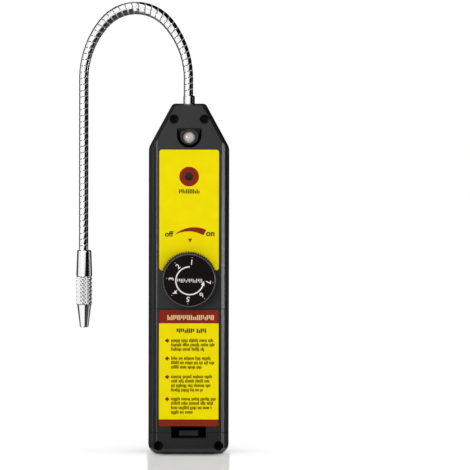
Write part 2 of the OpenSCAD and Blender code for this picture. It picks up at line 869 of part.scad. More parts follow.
// A block that stands h high on the front of the board, centred at x and z
module on_board(x, z, w, l, h, lift = 0) {
    box([x - w / 2, board_y - h, z - l / 2], [x + w / 2, board_y - lift, z + l / 2]);
}

module hv_transformer() color([0.25, 0.22, 0.2]) {
    on_board(transformer_x, parts_z, transformer_w, transformer_l, transformer_base);
    on_board(transformer_x, parts_z, core_w, core_l, core_h);
    bar_y(transformer_x, parts_z, coil_d, board_y - coil_h, board_y - sink);
}

module capacitors() color([0.15, 0.2, 0.4]) for (k = [0, 1]) {
    z = parts_z + (k == 0 ? -1 : 1) * (capacitor_d[k] + capacitor_gap) / 2;
    bar_y(capacitor_x, z, capacitor_d[k], board_y - capacitor_h[k], board_y);
}

// A dual-in-line chip with pins along both sides
module chip(x, z, pins) {
    on_board(x, z, chip_w, pins * pin_pitch + 2 * chip_end, chip_h, chip_lift);
    for (k = [0:pins - 1], s = [-1, 1])
        on_board(x + s * (chip_w / 2 + pin_out), z + (k - (pins - 1) / 2) * pin_pitch, pin_w, pin_t, pin_h);
}

module control_chips() color([0.1, 0.1, 0.1]) {
    chip(chip_x, parts_z, large_chip_pins);
    chip(small_chip_x, sound_z - small_chip_drop, small_chip_pins);
}

module transistor() color([0.12, 0.12, 0.12]) difference() {
    bar_y(transistor_x, sound_z, transistor_d, board_y - transistor_h, board_y);
    box([-board_w, front_y, sound_z + transistor_flat], [0, board_y + past, sound_z + transistor_d]);
}

// Axial resistors one above the other, each on two bent wires
module resistors() color([0.75, 0.62, 0.42]) for (k = [0:resistor_count - 1])
    translate([0, board_y - resistor_lift, resistor_z + resistor_pitch * k]) {
        rotate([0, 90, 0]) cylinder(h = resistor_l, d = resistor_d, center = true);
        for (turn = [0, 180]) rotate([0, turn, 0]) {
            box([resistor_l / 2 - sink, -wire_t / 2, -wire_t / 2],
                [resistor_l / 2 + wire_out, wire_t / 2, wire_t / 2]);
            box([resistor_l / 2 + wire_out - wire_t, -wire_t / 2, -wire_t / 2],
                [resistor_l / 2 + wire_out, resistor_lift, wire_t / 2]);
        }
    }

// Battery, snap and leads

module battery() color([0.55, 0.42, 0.2]) {
    translate([0, 0, battery_z0]) linear_extrude(battery_h)
        round_rect([-battery_w / 2, battery_front_y], [battery_w / 2, battery_front_y + battery_d], 2);
    for (t = terminals)
        translate([t[0], battery_mid_y, battery_z1 - sink]) cylinder(h = terminal_h + sink, d = t[1]);
}

module battery_snap() color([0.1, 0.1, 0.1]) difference() {
    translate([0, 0, battery_z1 + slack]) linear_extrude(snap_t)
        round_rect([-snap_w / 2, battery_mid_y - snap_w / 4],
            [snap_w / 2, battery_mid_y + snap_w / 4], snap_w / 5);
    for (t = terminals) translate([t[0], battery_mid_y, battery_z1 - past])
        cylinder(h = terminal_h + past + 2 * slack, d = t[1] + 2 * slack);
}

module battery_leads() color([0.6, 0.1, 0.1]) for (s = [-1, 1]) {
    x = lead_hole[0] + s * 1.1;
    y = lead_hole[1];
    tube([
        [s * 3, battery_mid_y, snap_z1],
        [s * 3, battery_mid_y, snap_z1 + 3],
        [s * 2 + 1.5, y, snap_z1 + 6],
        [x, y, snap_z1 + 10],
        [x, y, bay_block_z1 + 0.5],
        [x, board_y - 2, board_z0 + 2],
        [x, board_y, board_z0 + 2]
    ], lead_d, 8, [1, 0, 0]);
}

// Gooseneck and its ferrule

module neck_ferrule() color(chrome) rotate_extrude() polygon([
    [lead_room_d / 2, flange_z1 - flange_t], [flange_r, flange_z1 - flange_t], [flange_r, flange_z1],
    [ferrule_d / 2, flange_z1], [ferrule_d / 2, ferrule_top - ferrule_edge],
    [ferrule_d / 2 - ferrule_edge, ferrule_top], [neck_d / 2 + slack, ferrule_top],
    [neck_d / 2 + slack, neck_foot_z - slack], [lead_room_d / 2, neck_foot_z - slack]]);

module sensor_leads() color([0.7, 0.7, 0.7]) for (s = [-1, 1]) tube([
        [s, 0, shelf_z1 + 1],
        [s, 0, shelf_z1 - shelf_t],
        [s * 2.6, -0.8, board_top + 3],
        [s * 4.4, -0.8, board_top],
        [s * 4.4, board_y - 2, board_top - 2],
        [s * 4.4, board_y, board_top - 2]
    ], lead_d, 8, [1, 0, 0]);

// Lean of the arch at distance m along it from its crown, and the crown-side place there
function neck_lean(m) = m < top_arc_len ? m / top_arc_r * 180 / PI
    : m < arch_half ? 90 - side_angle + (m - top_arc_len) / side_r * 180 / PI : 90;
function neck_out(m) = m < top_arc_len ? top_arc_r * sin(neck_lean(m))
    : side_r * sin(neck_lean(m)) - side_r + neck_span / 2;
function neck_height(m) = m < top_arc_len ? top_arc_z + top_arc_r * cos(neck_lean(m))
    : m < arch_half ? spring_z + side_r * cos(neck_lean(m)) : spring_z - (m - arch_half);

// A point at distance u from the crown (to the probe if positive), r from the middle at angle a round it
function neck_point(u, r, a) =
    let (m = abs(u), s = sign(u), lean = neck_lean(m), out = neck_out(m) + r * cos(a) * sin(lean))
    [-neck_span / 2 - s * out, r * sin(a), neck_height(m) + r * cos(a) * cos(lean)];

// Number of the point in row k at side j, where the last side is the first one of the next turn
function at(k, j) = j < neck_sides ? k * neck_sides + j : (k + turn_rows) * neck_sides;

// One wound strip: its rows climb by a pitch in each turn, so each turn ends where the next begins
module gooseneck() color(chrome) {
    last = neck_turns * turn_rows;
    points = [for (k = [0:last], j = [0:neck_sides - 1])
        let (u = neck_start + neck_pitch * (floor(k / turn_rows) + turn_steps[k % turn_rows] + j / neck_sides),
            r = neck_d / 2 - (k % turn_rows == 0 ? neck_groove : 0))
        neck_point(u, r, 360 * j / neck_sides)];
    foot = [for (j = [0:neck_sides]) at(0, j), for (k = [turn_rows - 1:-1:1]) at(k, 0)];
    head = [for (j = [0:neck_sides - 1]) at(last, j),
        for (k = [last - 1:-1:last - turn_rows]) at(k, neck_sides - 1)];
    polyhedron(
        points = concat(points, [neck_point(neck_start + neck_pitch / 2, 0, 0),
            neck_point(neck_start + neck_pitch * (neck_turns + 0.5), 0, 0)]),
        faces = [
            for (k = [0:last - 1], j = [0:neck_sides - 1]) if (j < neck_sides - 1 || k < last - turn_rows)
                each [[at(k, j), at(k + 1, j), at(k + 1, j + 1)], [at(k, j), at(k + 1, j + 1), at(k, j + 1)]],
            for (i = [0:len(foot) - 1]) [foot[i], foot[(i + 1) % len(foot)], len(points)],
            for (i = [0:len(head) - 1]) [head[(i + 1) % len(head)], head[i], len(points) + 1]
        ]);
}

// Probe

module probe_sleeve() color(chrome) translate([probe_x, 0, 0]) rotate_extrude() polygon([
    [0, sleeve_z0 - stub_h], [stub_d / 2, sleeve_z0 - stub_h], [stub_d / 2, sleeve_z0], [grip_d / 2, sleeve_z0],
    [sleeve_top_d / 2, sleeve_top - ferrule_edge], [sleeve_top_d / 2 - ferrule_edge, sleeve_top],
    [neck_d / 2 + slack, sleeve_top], [neck_d / 2 + slack, sleeve_top - neck_end_depth - slack],
    [0, sleeve_top - neck_end_depth - slack]]);

module sensor_element() color([0.85, 0.8, 0.7]) translate([probe_x, 0, sleeve_z0 - stub_h - sensor_h]) {
    cylinder(h = sensor_h, d = sensor_d);
    translate([0, 0, -sensor_pin]) cylinder(h = sensor_pin + sink, d = sensor_pin_d);
}

// Number of the tip's point in row i at place k round it
function on_tip(i, k) = i * knurl_count + k % knurl_count;

// Skin of the tip: peaks and pits in turn round each knurled row, with the pits joined along the diagonals
module tip_form() {
    points = [for (i = [0:len(tip_rows) - 1], k = [0:knurl_count - 1])
        let (r = tip_rows[i][1] - ((i + k) % 2 == 0 ? 0 : tip_rows[i][2]), a = 360 * k / knurl_count)
        [r * cos(a), r * sin(a), tip_rows[i][0]]];
    last = len(tip_rows) - 1;
    polyhedron(points = points, faces = [
        [for (k = [0:knurl_count - 1]) on_tip(0, k)],
        for (i = [0:last - 1], k = [0:knurl_count - 1]) each (i + k) % 2 == 0
            ? [[on_tip(i, k), on_tip(i + 1, k), on_tip(i, k + 1)],
                [on_tip(i + 1, k), on_tip(i + 1, k + 1), on_tip(i, k + 1)]]
            : [[on_tip(i, k), on_tip(i + 1, k), on_tip(i + 1, k + 1)],
                [on_tip(i, k), on_tip(i + 1, k + 1), on_tip(i, k + 1)]],
        [for (k = [knurl_count - 1:-1:0]) on_tip(last, k)]
    ]);
}

module sensing_tip() color(chrome) translate([probe_x, 0, 0]) difference() {
    tip_form();
    translate([0, 0, tip_bore_z]) cylinder(h = sleeve_z0, d = stub_d + 2 * slack);
    translate([0, 0, nose_z0 - past]) cylinder(h = sleeve_z0, d = inlet_d);
}

front_shell();
rear_shell();
battery_door();
front_label();
door_label();
case_screws();
knob();
dial_plate();
pot_shaft();
potentiometer();
alarm_lens();
alarm_led();
buzzer();
main_board();
board_screws();
hv_transformer();
capacitors();
control_chips();
transistor();
resistors();
battery();
battery_snap();
battery_leads();
neck_ferrule();
sensor_leads();
gooseneck();
probe_sleeve();
sensor_element();
sensing_tip();
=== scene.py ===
import math
import random

import bmesh
import bpy
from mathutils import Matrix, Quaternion, Vector


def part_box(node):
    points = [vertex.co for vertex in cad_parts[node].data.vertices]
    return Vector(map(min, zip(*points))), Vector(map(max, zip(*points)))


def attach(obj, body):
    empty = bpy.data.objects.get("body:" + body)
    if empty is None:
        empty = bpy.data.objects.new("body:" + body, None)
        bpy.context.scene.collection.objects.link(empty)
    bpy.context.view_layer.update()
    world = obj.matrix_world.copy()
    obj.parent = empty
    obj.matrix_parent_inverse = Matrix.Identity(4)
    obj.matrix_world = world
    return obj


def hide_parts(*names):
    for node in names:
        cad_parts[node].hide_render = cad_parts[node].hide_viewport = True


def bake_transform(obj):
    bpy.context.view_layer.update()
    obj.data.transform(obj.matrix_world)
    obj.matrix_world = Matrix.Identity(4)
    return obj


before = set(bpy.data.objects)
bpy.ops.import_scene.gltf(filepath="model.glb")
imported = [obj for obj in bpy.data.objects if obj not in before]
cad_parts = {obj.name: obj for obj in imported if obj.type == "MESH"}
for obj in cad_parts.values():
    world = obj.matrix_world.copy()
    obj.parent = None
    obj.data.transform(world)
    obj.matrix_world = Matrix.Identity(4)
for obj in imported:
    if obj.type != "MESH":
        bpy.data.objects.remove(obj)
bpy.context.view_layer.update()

# Sizes and places on the object are in millimetres, times MM where metres are needed; the stage is in metres
MM = 0.001

# Camera: a long lens in front of the case and a little above it, with a square frame
PIXEL = 0.57 * MM
FRAME_PIXELS = 470
SENSOR = 36.0
LENS = 270.0
AIM_X = 26.2 * MM
AIM_Z = 125.15 * MM
CAMERA_X = -15.0 * MM
CAMERA_Z = 185.0 * MM
ROLL = math.radians(0.15)

# Light from the sky on every surface, and the glow that keeps the floor white where it is seen
AMBIENT = 0.78
FLOOR_FILL = 0.32

# Colours, linear
BLACK_PLASTIC = (0.0085, 0.0088, 0.0092)
KNOB_PLASTIC = (0.007, 0.0068, 0.007)
DIAL_BLACK = (0.0085, 0.0055, 0.0055)
LABEL_YELLOW = (0.90, 0.745, 0.0008)
PRINT_RED = (0.255, 0.022, 0.008)
PRINT_DARK = (0.012, 0.01, 0.003)
PRINT_PALE = (0.93, 0.63, 0.32)
PRINT_WHITE = (0.80, 0.79, 0.78)
# Grey of the painted highlight on the edge of the knob's face
RIM_HIGHLIGHT_GREY = (0.17, 0.152, 0.172)

# Faces and boxes that the pieces below take from the frame
front_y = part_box("front_shell")[0].y
front_label_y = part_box("front_label")[0].y
door_label_lo, door_label_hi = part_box("door_label")
dial_lo, dial_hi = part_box("dial_plate")

# How far a print stands out of its face, and how far it reaches into it
PRINT_T = 0.04 * MM
PRINT_SINK = 0.01 * MM

# Steps of a letter's curves, and how close two points are when they are one
LETTER_STEPS = 6
SAME_PLACE = 1e-7


# Mesh helpers

def finish_mesh(name, bm, material, smooth=False):
    bmesh.ops.recalc_face_normals(bm, faces=bm.faces)
    mesh = bpy.data.meshes.new(name)
    bm.to_mesh(mesh)
    bm.free()
    mesh.polygons.foreach_set("use_smooth", [smooth] * len(mesh.polygons))
    mesh.materials.append(material)
    obj = bpy.data.objects.new(name, mesh)
    bpy.context.scene.collection.objects.link(obj)
    return obj


def place(x, z):
    return (x * MM, z * MM)


def metres(points):
    return [place(x, z) for x, z in points]


def arc(centre, radius, start, stop, steps):
    """Points of an arc from one angle to another, in degrees, with both ends."""
    angles = [math.radians(start + (stop - start) * i / steps) for i in range(steps + 1)]
    return [(centre[0] + radius * math.cos(a), centre[1] + radius * math.sin(a)) for a in angles]


def arc_through(a, b, c, steps):
    """Points of the arc from a through b to c."""
    ax, az, bx, bz, cx, cz = *a, *b, *c
    d = 2 * (ax * (bz - cz) + bx * (cz - az) + cx * (az - bz))
    sa, sb, sc = ax * ax + az * az, bx * bx + bz * bz, cx * cx + cz * cz
    centre = (
        (sa * (bz - cz) + sb * (cz - az) + sc * (az - bz)) / d,
        (sa * (cx - bx) + sb * (ax - cx) + sc * (bx - ax)) / d,
    )
    start = math.degrees(math.atan2(az - centre[1], ax - centre[0]))
    stop = math.degrees(math.atan2(cz - centre[1], cx - centre[0]))
    if stop > start:
        stop -= 360
    return arc(centre, math.dist(a, centre), start, stop, steps)


def rounded_rect(x0, z0, x1, z1, radius, corners=(1, 1, 1, 1), steps=5):
    """A box's outline; corners says which are rounded: lower right, upper right, upper left, lower left."""
    spots = [(x1, z0, -90), (x1, z1, 0), (x0, z1, 90), (x0, z0, 180)]
    points = []
    for (x, z, start), rounded in zip(spots, corners):
        if rounded:
            sx = radius if x == x0 else -radius
            sz = radius if z == z0 else -radius
            points += arc((x + sx, z + sz), radius, start, start + 90, steps)
        else:
            points.append((x, z))
    return points


def add_plate(bm, outline, y):
    """A thin flat print with this outline on a face at y that looks to the front."""
    front = [bm.verts.new((x, y - PRINT_T, z)) for x, z in outline]
    back = [bm.verts.new((x, y + PRINT_SINK, z)) for x, z in outline]
    bm.faces.new(front)
    bm.faces.new(reversed(back))
    for i in range(len(outline)):
        k = (i + 1) % len(outline)
        bm.faces.new((front[i], back[i], back[k], front[k]))


def add_band(bm, centre, r0, r1, start, stop, y, steps=64):
    """A flat print between two radii, open or all the way round."""
    closed = abs(stop - start) >= 360
    inner = arc(centre, r0, start, stop, steps)
    outer = arc(centre, r1, start, stop, steps)
    if closed:
        inner, outer = inner[:-1], outer[:-1]
    rows = []
    for (xi, zi), (xo, zo) in zip(inner, outer):
        rows.append([
            bm.verts.new((xi, y - PRINT_T, zi)), bm.verts.new((xo, y - PRINT_T, zo)),
            bm.verts.new((xo, y + PRINT_SINK, zo)), bm.verts.new((xi, y + PRINT_SINK, zi)),
        ])
    count = len(rows)
    for i in range(count if closed else count - 1):
        a, b = rows[i], rows[(i + 1) % count]
        for s in range(4):
            t = (s + 1) % 4
            bm.faces.new((a[s], a[t], b[t], b[s]))
    if not closed:
        bm.faces.new(rows[0])
        bm.faces.new(reversed(rows[-1]))


def add_text(bm, words, centre, y, height, weight, width=None, turn=0.0):
    """Words or numerals as flat prints, centred, with a height, at times a width, and a turn in degrees."""
    curve = bpy.data.curves.new("letters", "FONT")
    curve.body = words
    curve.offset = weight
    curve.extrude = 0.5
    curve.resolution_u = LETTER_STEPS
    carrier = bpy.data.objects.new("letters", curve)
    bpy.context.scene.collection.objects.link(carrier)
    bpy.context.view_layer.update()
    mesh = bpy.data.meshes.new_from_object(carrier.evaluated_get(bpy.context.evaluated_depsgraph_get()))
    bpy.data.objects.remove(carrier)
    bpy.data.curves.remove(curve)
    xs = [v.co.x for v in mesh.vertices]
    ys = [v.co.y for v in mesh.vertices]
    middle = Vector(((min(xs) + max(xs)) / 2, (min(ys) + max(ys)) / 2, 0))
    sz = height / (max(ys) - min(ys))
    sx = width / (max(xs) - min(xs)) if width else sz
    a = math.radians(turn)
    for v in mesh.vertices:
        u, w = (v.co.x - middle.x) * sx, (v.co.y - middle.y) * sz
        depth = -PRINT_T if v.co.z > 0 else PRINT_SINK
        v.co = (
            centre[0] + u * math.cos(a) - w * math.sin(a),
            y + depth,
            centre[1] + u * math.sin(a) + w * math.cos(a),
        )
    bm.from_mesh(mesh)
    bpy.data.meshes.remove(mesh)
    bmesh.ops.remove_doubles(bm, verts=bm.verts, dist=SAME_PLACE)


# Materials

# Depth of the grain of moulded plastic, the mottling of its colour, and the stretch of polishing lines
GRAIN_DEPTH = 0.03 * MM
MOTTLING = 0.12
SCRATCH = (1.0, 1.0, 0.12)
# Part of a noise's range over which a colour changes
NOISE_SPAN = (0.3, 0.7)


def new_material(name, colour, roughness, metallic=0.0, gloss=0.5):
    material = bpy.data.materials.new(name)
    material.use_nodes = True
    shader = material.node_tree.nodes["Principled BSDF"]
    shader.inputs["Base Color"].default_value = (*colour, 1)
    shader.inputs["Roughness"].default_value = roughness
    shader.inputs["Metallic"].default_value = metallic
    shader.inputs["Specular IOR Level"].default_value = gloss
    return material, shader


def add_node(material, kind, **sockets):
    node = material.node_tree.nodes.new(kind)
    for key, value in sockets.items():
        node.inputs[key].default_value = value
    return node


def noise(material, scale, detail=3.0, stretch=None):
    """A noise over the piece's own coordinates, in features per metre."""
    links = material.node_tree.links
    coordinates = add_node(material, "ShaderNodeTexCoord")
    texture = add_node(material, "ShaderNodeTexNoise", Scale=scale, Detail=detail)
    source = coordinates.outputs["Object"]
    if stretch:
        mapping = add_node(material, "ShaderNodeMapping", Scale=stretch)
        links.new(source, mapping.inputs["Vector"])
        source = mapping.outputs["Vector"]
    links.new(source, texture.inputs["Vector"])
    return texture.outputs["Fac"]


def vary_roughness(material, shader, value, low, high):
    spread = add_node(material, "ShaderNodeMapRange", **{"To Min": low, "To Max": high})
    material.node_tree.links.new(value, spread.inputs["Value"])
    material.node_tree.links.new(spread.outputs["Result"], shader.inputs["Roughness"])


def vary_colour(material, shader, value, dark, light):
    ramp = add_node(material, "ShaderNodeValToRGB")
    for element, position, colour in zip(ramp.color_ramp.elements, NOISE_SPAN, (dark, light)):
        element.position = position
        element.color = (*colour, 1)
    material.node_tree.links.new(value, ramp.inputs["Fac"])
    material.node_tree.links.new(ramp.outputs["Color"], shader.inputs["Base Color"])


def bump(material, shader, value, strength, distance):
    node = add_node(material, "ShaderNodeBump", Strength=strength, Distance=distance)
    material.node_tree.links.new(value, node.inputs["Height"])
    material.node_tree.links.new(node.outputs["Normal"], shader.inputs["Normal"])


def scaled(colour, factor):
    return tuple(c * factor for c in colour)


def moulded(name, colour, roughness, grain=5200.0, gloss=0.4):
    """Moulded plastic with a fine spark grain and faint mottling."""
    material, shader = new_material(name, colour, roughness, gloss=gloss)
    mottled = (scaled(colour, 1 - MOTTLING), scaled(colour, 1 + MOTTLING))
    vary_colour(material, shader, noise(material, scale=240.0), *mottled)
    vary_roughness(material, shader, noise(material, scale=600.0), roughness - 0.05, roughness + 0.05)
    bump(material, shader, noise(material, scale=grain, detail=2.0), strength=0.35, distance=GRAIN_DEPTH)
    return material


def film(name, colour, roughness=0.34):
    """Printed label film: smooth, with a faint orange-peel and slight unevenness of the ink."""
    material, shader = new_material(name, colour, roughness, gloss=0.03)
    uneven = (scaled(colour, 0.965), scaled(colour, 1.03))
    vary_colour(material, shader, noise(material, scale=130.0, detail=4.0), *uneven)
    vary_roughness(material, shader, noise(material, scale=420.0), roughness - 0.04, roughness + 0.06)
    bump(material, shader, noise(material, scale=1700.0, detail=2.0), strength=0.2, distance=0.012 * MM)
    return material


def plated(name, colour, roughness):
    """Plated metal with fine polishing lines."""
    material, shader = new_material(name, colour, roughness, metallic=1.0)
    wear = noise(material, scale=2600.0, detail=2.0, stretch=SCRATCH)
    vary_roughness(material, shader, wear, roughness * 0.7, roughness * 1.5)
    lines = noise(material, scale=3800.0, detail=2.0, stretch=SCRATCH)
    bump(material, shader, lines, strength=0.08, distance=0.01 * MM)
    return material


def clear_plastic(name, colour):
    """A moulded lens, part clear, with small facets on its inside."""
    material, shader = new_material(name, colour, roughness=0.16)
    shader.inputs["Transmission Weight"].default_value = 0.22
    shader.inputs["IOR"].default_value = 1.49
    shader.inputs["Coat Weight"].default_value = 0.6
    shader.inputs["Coat Roughness"].default_value = 0.05
    coordinates = add_node(material, "ShaderNodeTexCoord")
    facets = add_node(material, "ShaderNodeTexVoronoi", Scale=620.0)
    material.node_tree.links.new(coordinates.outputs["Object"], facets.inputs["Vector"])
    cloudy = (scaled(colour, 0.72), scaled(colour, 1.06))
    vary_colour(material, shader, noise(material, scale=760.0, detail=4.0), *cloudy)
    bump(material, shader, facets.outputs["Distance"], strength=0.5, distance=0.3 * MM)
    return material


case_black = moulded("moulded_black", BLACK_PLASTIC, 0.36)
knob_black = moulded("knob_black", KNOB_PLASTIC, 0.33, grain=7000.0)
dial_black = film("dial_black", DIAL_BLACK, 0.3)
label_yellow = film("label_yellow", LABEL_YELLOW)
ink_red = film("ink_red", PRINT_RED)
ink_dark = film("ink_dark", PRINT_DARK)
ink_pale = film("ink_pale", PRINT_PALE)
ink_white = film("ink_white", PRINT_WHITE)
# A painted highlight for the edge of the knob's face
painted_rim_highlight = film("painted_rim_highlight", RIM_HIGHLIGHT_GREY)
chrome = plated("chrome", (0.86, 0.86, 0.87), 0.07)
seam_grey = moulded("seam_grey", (0.24, 0.24, 0.245), 0.6, gloss=0.1)
screw_black = moulded("screw_black", (0.002, 0.002, 0.002), 0.4, gloss=0.12)
# Near-black matt for painted shade in the latch recess and round the lamp
painted_shade_black = moulded("painted_shade_black", (0.0006, 0.0006, 0.0006), 0.9, gloss=0.0)
bright_steel = plated("bright_steel", (0.55, 0.55, 0.56), 0.24)
lens_clear = clear_plastic("lens_clear", (0.76, 0.68, 0.65))
led_red = moulded("led_red", (0.55, 0.03, 0.02), 0.2)
component_black = moulded("component_black", (0.02, 0.02, 0.02), 0.45)
sounder_grey = moulded("sounder_grey", (0.2, 0.16, 0.165), 0.4)
capacitor_blue = moulded("capacitor_blue", (0.03, 0.06, 0.22), 0.35)
resistor_tan = moulded("resistor_tan", (0.46, 0.31, 0.15), 0.45)
board_green = moulded("board_green", (0.02, 0.13, 0.045), 0.4, grain=2600.0)
battery_can = plated("battery_can", (0.34, 0.2, 0.06), 0.3)
lead_red = moulded("lead_red", (0.42, 0.02, 0.015), 0.4)
lead_grey = moulded("lead_grey", (0.34, 0.34, 0.34), 0.4)
sensor_ceramic = moulded("sensor_ceramic", (0.7, 0.64, 0.52), 0.5)


# The solids that stay, with softened edges

WELD_REACH = 0.002 * MM
SOFT_STEPS = 2
SOFT_ANGLE = math.radians(38)


def dress(node, material, edge=0.0):
    """Give a solid its material and, where edge says so in millimetres, softened edges."""
    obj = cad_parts[node]
    obj.data.materials.clear()
    obj.data.materials.append(material)
    weld = obj.modifiers.new("weld", "WELD")
    weld.merge_threshold = WELD_REACH
    if edge:
        soften = obj.modifiers.new("soften", "BEVEL")
        soften.width = edge * MM
        soften.segments = SOFT_STEPS
        soften.limit_method = "ANGLE"
        soften.angle_limit = SOFT_ANGLE
        soften.harden_normals = False
    normals = obj.modifiers.new("normals", "WEIGHTED_NORMAL")
    normals.keep_sharp = True


dress("front_shell", case_black, 0.22)
dress("rear_shell", case_black, 0.22)
dress("battery_door", case_black, 0.22)
dress("front_label", label_yellow)
dress("door_label", label_yellow)
dress("case_screws", screw_black, 0.12)
dress("knob", knob_black, 0.12)
dress("dial_plate", dial_black)
dress("pot_shaft", bright_steel, 0.1)
dress("potentiometer", bright_steel, 0.2)
dress("alarm_lens", lens_clear)
dress("alarm_led", led_red)
dress("buzzer", sounder_grey, 0.2)
dress("main_board", board_green)
dress("board_screws", bright_steel, 0.1)
dress("hv_transformer", component_black, 0.2)
dress("capacitors", capacitor_blue, 0.2)
dress("control_chips", component_black, 0.1)
dress("transistor", component_black, 0.1)
dress("resistors", resistor_tan)
dress("battery", battery_can, 0.5)
dress("battery_snap", component_black, 0.4)
dress("battery_leads", lead_red)
dress("neck_ferrule", chrome, 0.1)
dress("sensor_leads", lead_grey)
dress("probe_sleeve", chrome, 0.12)
dress("sensor_element", sensor_ceramic, 0.15)


# Gooseneck: one wound strip along an arch of a top arc, two side arcs and two straight legs

# Radius over the turns on the legs and at the crown
LEG_R = 2.7
CROWN_R = 3.6
# The arch: a shift to the left, the distance between its legs, the height where they end, its side arcs
NECK_SHIFT = -0.4
NECK_SPAN = 60.0
SPRING_Z = 214.0
SIDE_R = 50.0
SIDE_ANGLE = math.radians(40)
# Heights of the hose's two ends
NECK_FOOT_Z = 201.6
NECK_END_Z = 108.9
# The winding, and the strip in its groove: half its width, how far it lies below the turns, and its back
NECK_PITCH = 3.55
NECK_GROOVE = 0.36
NECK_SIDES = 36
SEAM_HALF = 0.3
SEAM_DROP = 0.035
SEAM_BACK = 0.5
SEAM_SHARP = math.radians(40)
# Rows of one turn along its pitch: place, and depth as a share of the groove
TURN = [
    (0.0, 1.0), (0.04, 0.4), (0.075, 0.1), (0.1, 0.02), (0.14, 0.0), (0.5, 0.0),
    (0.86, 0.0), (0.9, 0.02), (0.925, 0.1), (0.96, 0.4),
]

top_arc_r = SIDE_R - (SIDE_R - NECK_SPAN / 2) / math.cos(SIDE_ANGLE)
top_arc_z = SPRING_Z + (SIDE_R - NECK_SPAN / 2) * math.tan(SIDE_ANGLE)
top_arc_len = top_arc_r * (math.pi / 2 - SIDE_ANGLE)
arch_half = top_arc_len + SIDE_R * SIDE_ANGLE
neck_start = -(arch_half + SPRING_Z - NECK_FOOT_Z)
neck_stop = arch_half + SPRING_Z - NECK_END_Z
neck_len = neck_stop - neck_start


def neck_point(along, radius, around):
    """A point at a distance along the arch from its crown, at a radius and an angle round it."""
    run = abs(along)
    if run < top_arc_len:
        lean = run / top_arc_r
        out = top_arc_r * math.sin(lean)
        height = top_arc_z + top_arc_r * math.cos(lean)
    elif run < arch_half:
        lean = math.pi / 2 - SIDE_ANGLE + (run - top_arc_len) / SIDE_R
        out = SIDE_R * math.sin(lean) - SIDE_R + NECK_SPAN / 2
        height = SPRING_Z + SIDE_R * math.cos(lean)
    else:
        lean = math.pi / 2
        out = NECK_SPAN / 2
        height = SPRING_Z - (run - arch_half)
    out += radius * math.cos(around) * math.sin(lean)
    height += radius * math.cos(around) * math.cos(lean)
    side = math.copysign(1.0, along)
    return Vector((NECK_SHIFT - NECK_SPAN / 2 - side * out, radius * math.sin(around), height)) * MM


def neck_radius(along):
    """The turns open a little where the hose is bent."""
    if abs(along) > arch_half:
        return LEG_R
    return LEG_R + (CROWN_R - LEG_R) * math.cos(math.pi / 2 * along / arch_half) ** 2


def make_gooseneck():
    """The wound hose: each row of points runs once round it and ends one turn further along."""
    bm = bmesh.new()
    turns = int(neck_len / NECK_PITCH) - 1
    rows_per_turn = len(TURN)
    last = turns * rows_per_turn
    grid = []
    for k in range(last + 1):
        step, depth = TURN[k % rows_per_turn]
        row = []
        for j in range(NECK_SIDES):
            along = neck_start + NECK_PITCH * (k // rows_per_turn + step + j / NECK_SIDES)
            radius = neck_radius(along) - NECK_GROOVE * depth
            row.append(bm.verts.new(neck_point(along, radius, 2 * math.pi * j / NECK_SIDES)))
        grid.append(row)

    def at(k, j):
        return grid[k][j] if j < NECK_SIDES else grid[k + rows_per_turn][0]

    for k in range(last):
        for j in range(NECK_SIDES):
            if j < NECK_SIDES - 1 or k < last - rows_per_turn:
                bm.faces.new((at(k, j), at(k + 1, j), at(k + 1, j + 1), at(k, j + 1)))
    edges = [e for e in bm.edges if e.is_boundary]
    bmesh.ops.holes_fill(bm, edges=edges, sides=0)
    hose = finish_mesh("gooseneck_hose", bm, chrome, smooth=True)
    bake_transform(hose)
    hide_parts("gooseneck")


def make_seam():
    """The matt strip that shows in the groove between the turns."""
    bm = bmesh.new()
    rings = []
    for j in range(int(neck_len / NECK_PITCH - 2) * NECK_SIDES):
        middle = neck_start + NECK_PITCH * (1 + j / NECK_SIDES)
        around = 2 * math.pi * j / NECK_SIDES
        rings.append([
            bm.verts.new(neck_point(middle + side * SEAM_HALF, neck_radius(middle) - drop, around))
            for side, drop in ((-1, SEAM_DROP), (1, SEAM_DROP), (1, SEAM_BACK), (-1, SEAM_BACK))
        ])
    for a, b in zip(rings, rings[1:]):
        for s in range(4):
            bm.faces.new((a[s], a[(s + 1) % 4], b[(s + 1) % 4], b[s]))
    bm.faces.new(rings[0])
    bm.faces.new(rings[-1])
    seam = finish_mesh("gooseneck_seam", bm, seam_grey, smooth=True)
    seam.data.set_sharp_from_angle(angle=SEAM_SHARP)
    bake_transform(seam)


make_gooseneck()
make_seam()


# Sensing tip: diamond knurl, tapered nose and its inlet

# The tip's axis, and the heights of its top, of the lower end of its knurl and of its nose's end
TIP_X = -60.0
TIP_TOP = 100.85
GRIP_Z = 84.5
NOSE_Z = 71.5
GRIP_R = 4.6
GRIP_EDGE = 0.4
NOSE_ROOT_R = 4.1
NOSE_R = 2.5
NOSE_EDGE = 0.5
# Points of the nose's rounded end, in shares of that edge: how far up, and how far in
NOSE_ROUND = ((0.0, 0.7), (0.3, 0.25), (1.0, 0.0), (2.0, -0.128))
# Row just below the nose's root: how far down, and how far in
ROOT_EDGE = (0.2, 0.03)
# The inlet at the end and the wider bore above it
INLET_R = 1.5
BORE_R = 3.15
BORE_Z = 82.5
# The knurl, and the angle from which an edge is sharp
KNURL_DEPTH = 0.38
KNURL_POINTS = 36
KNURL_ROWS = 14
KNURL_SHARP = math.radians(11.5)


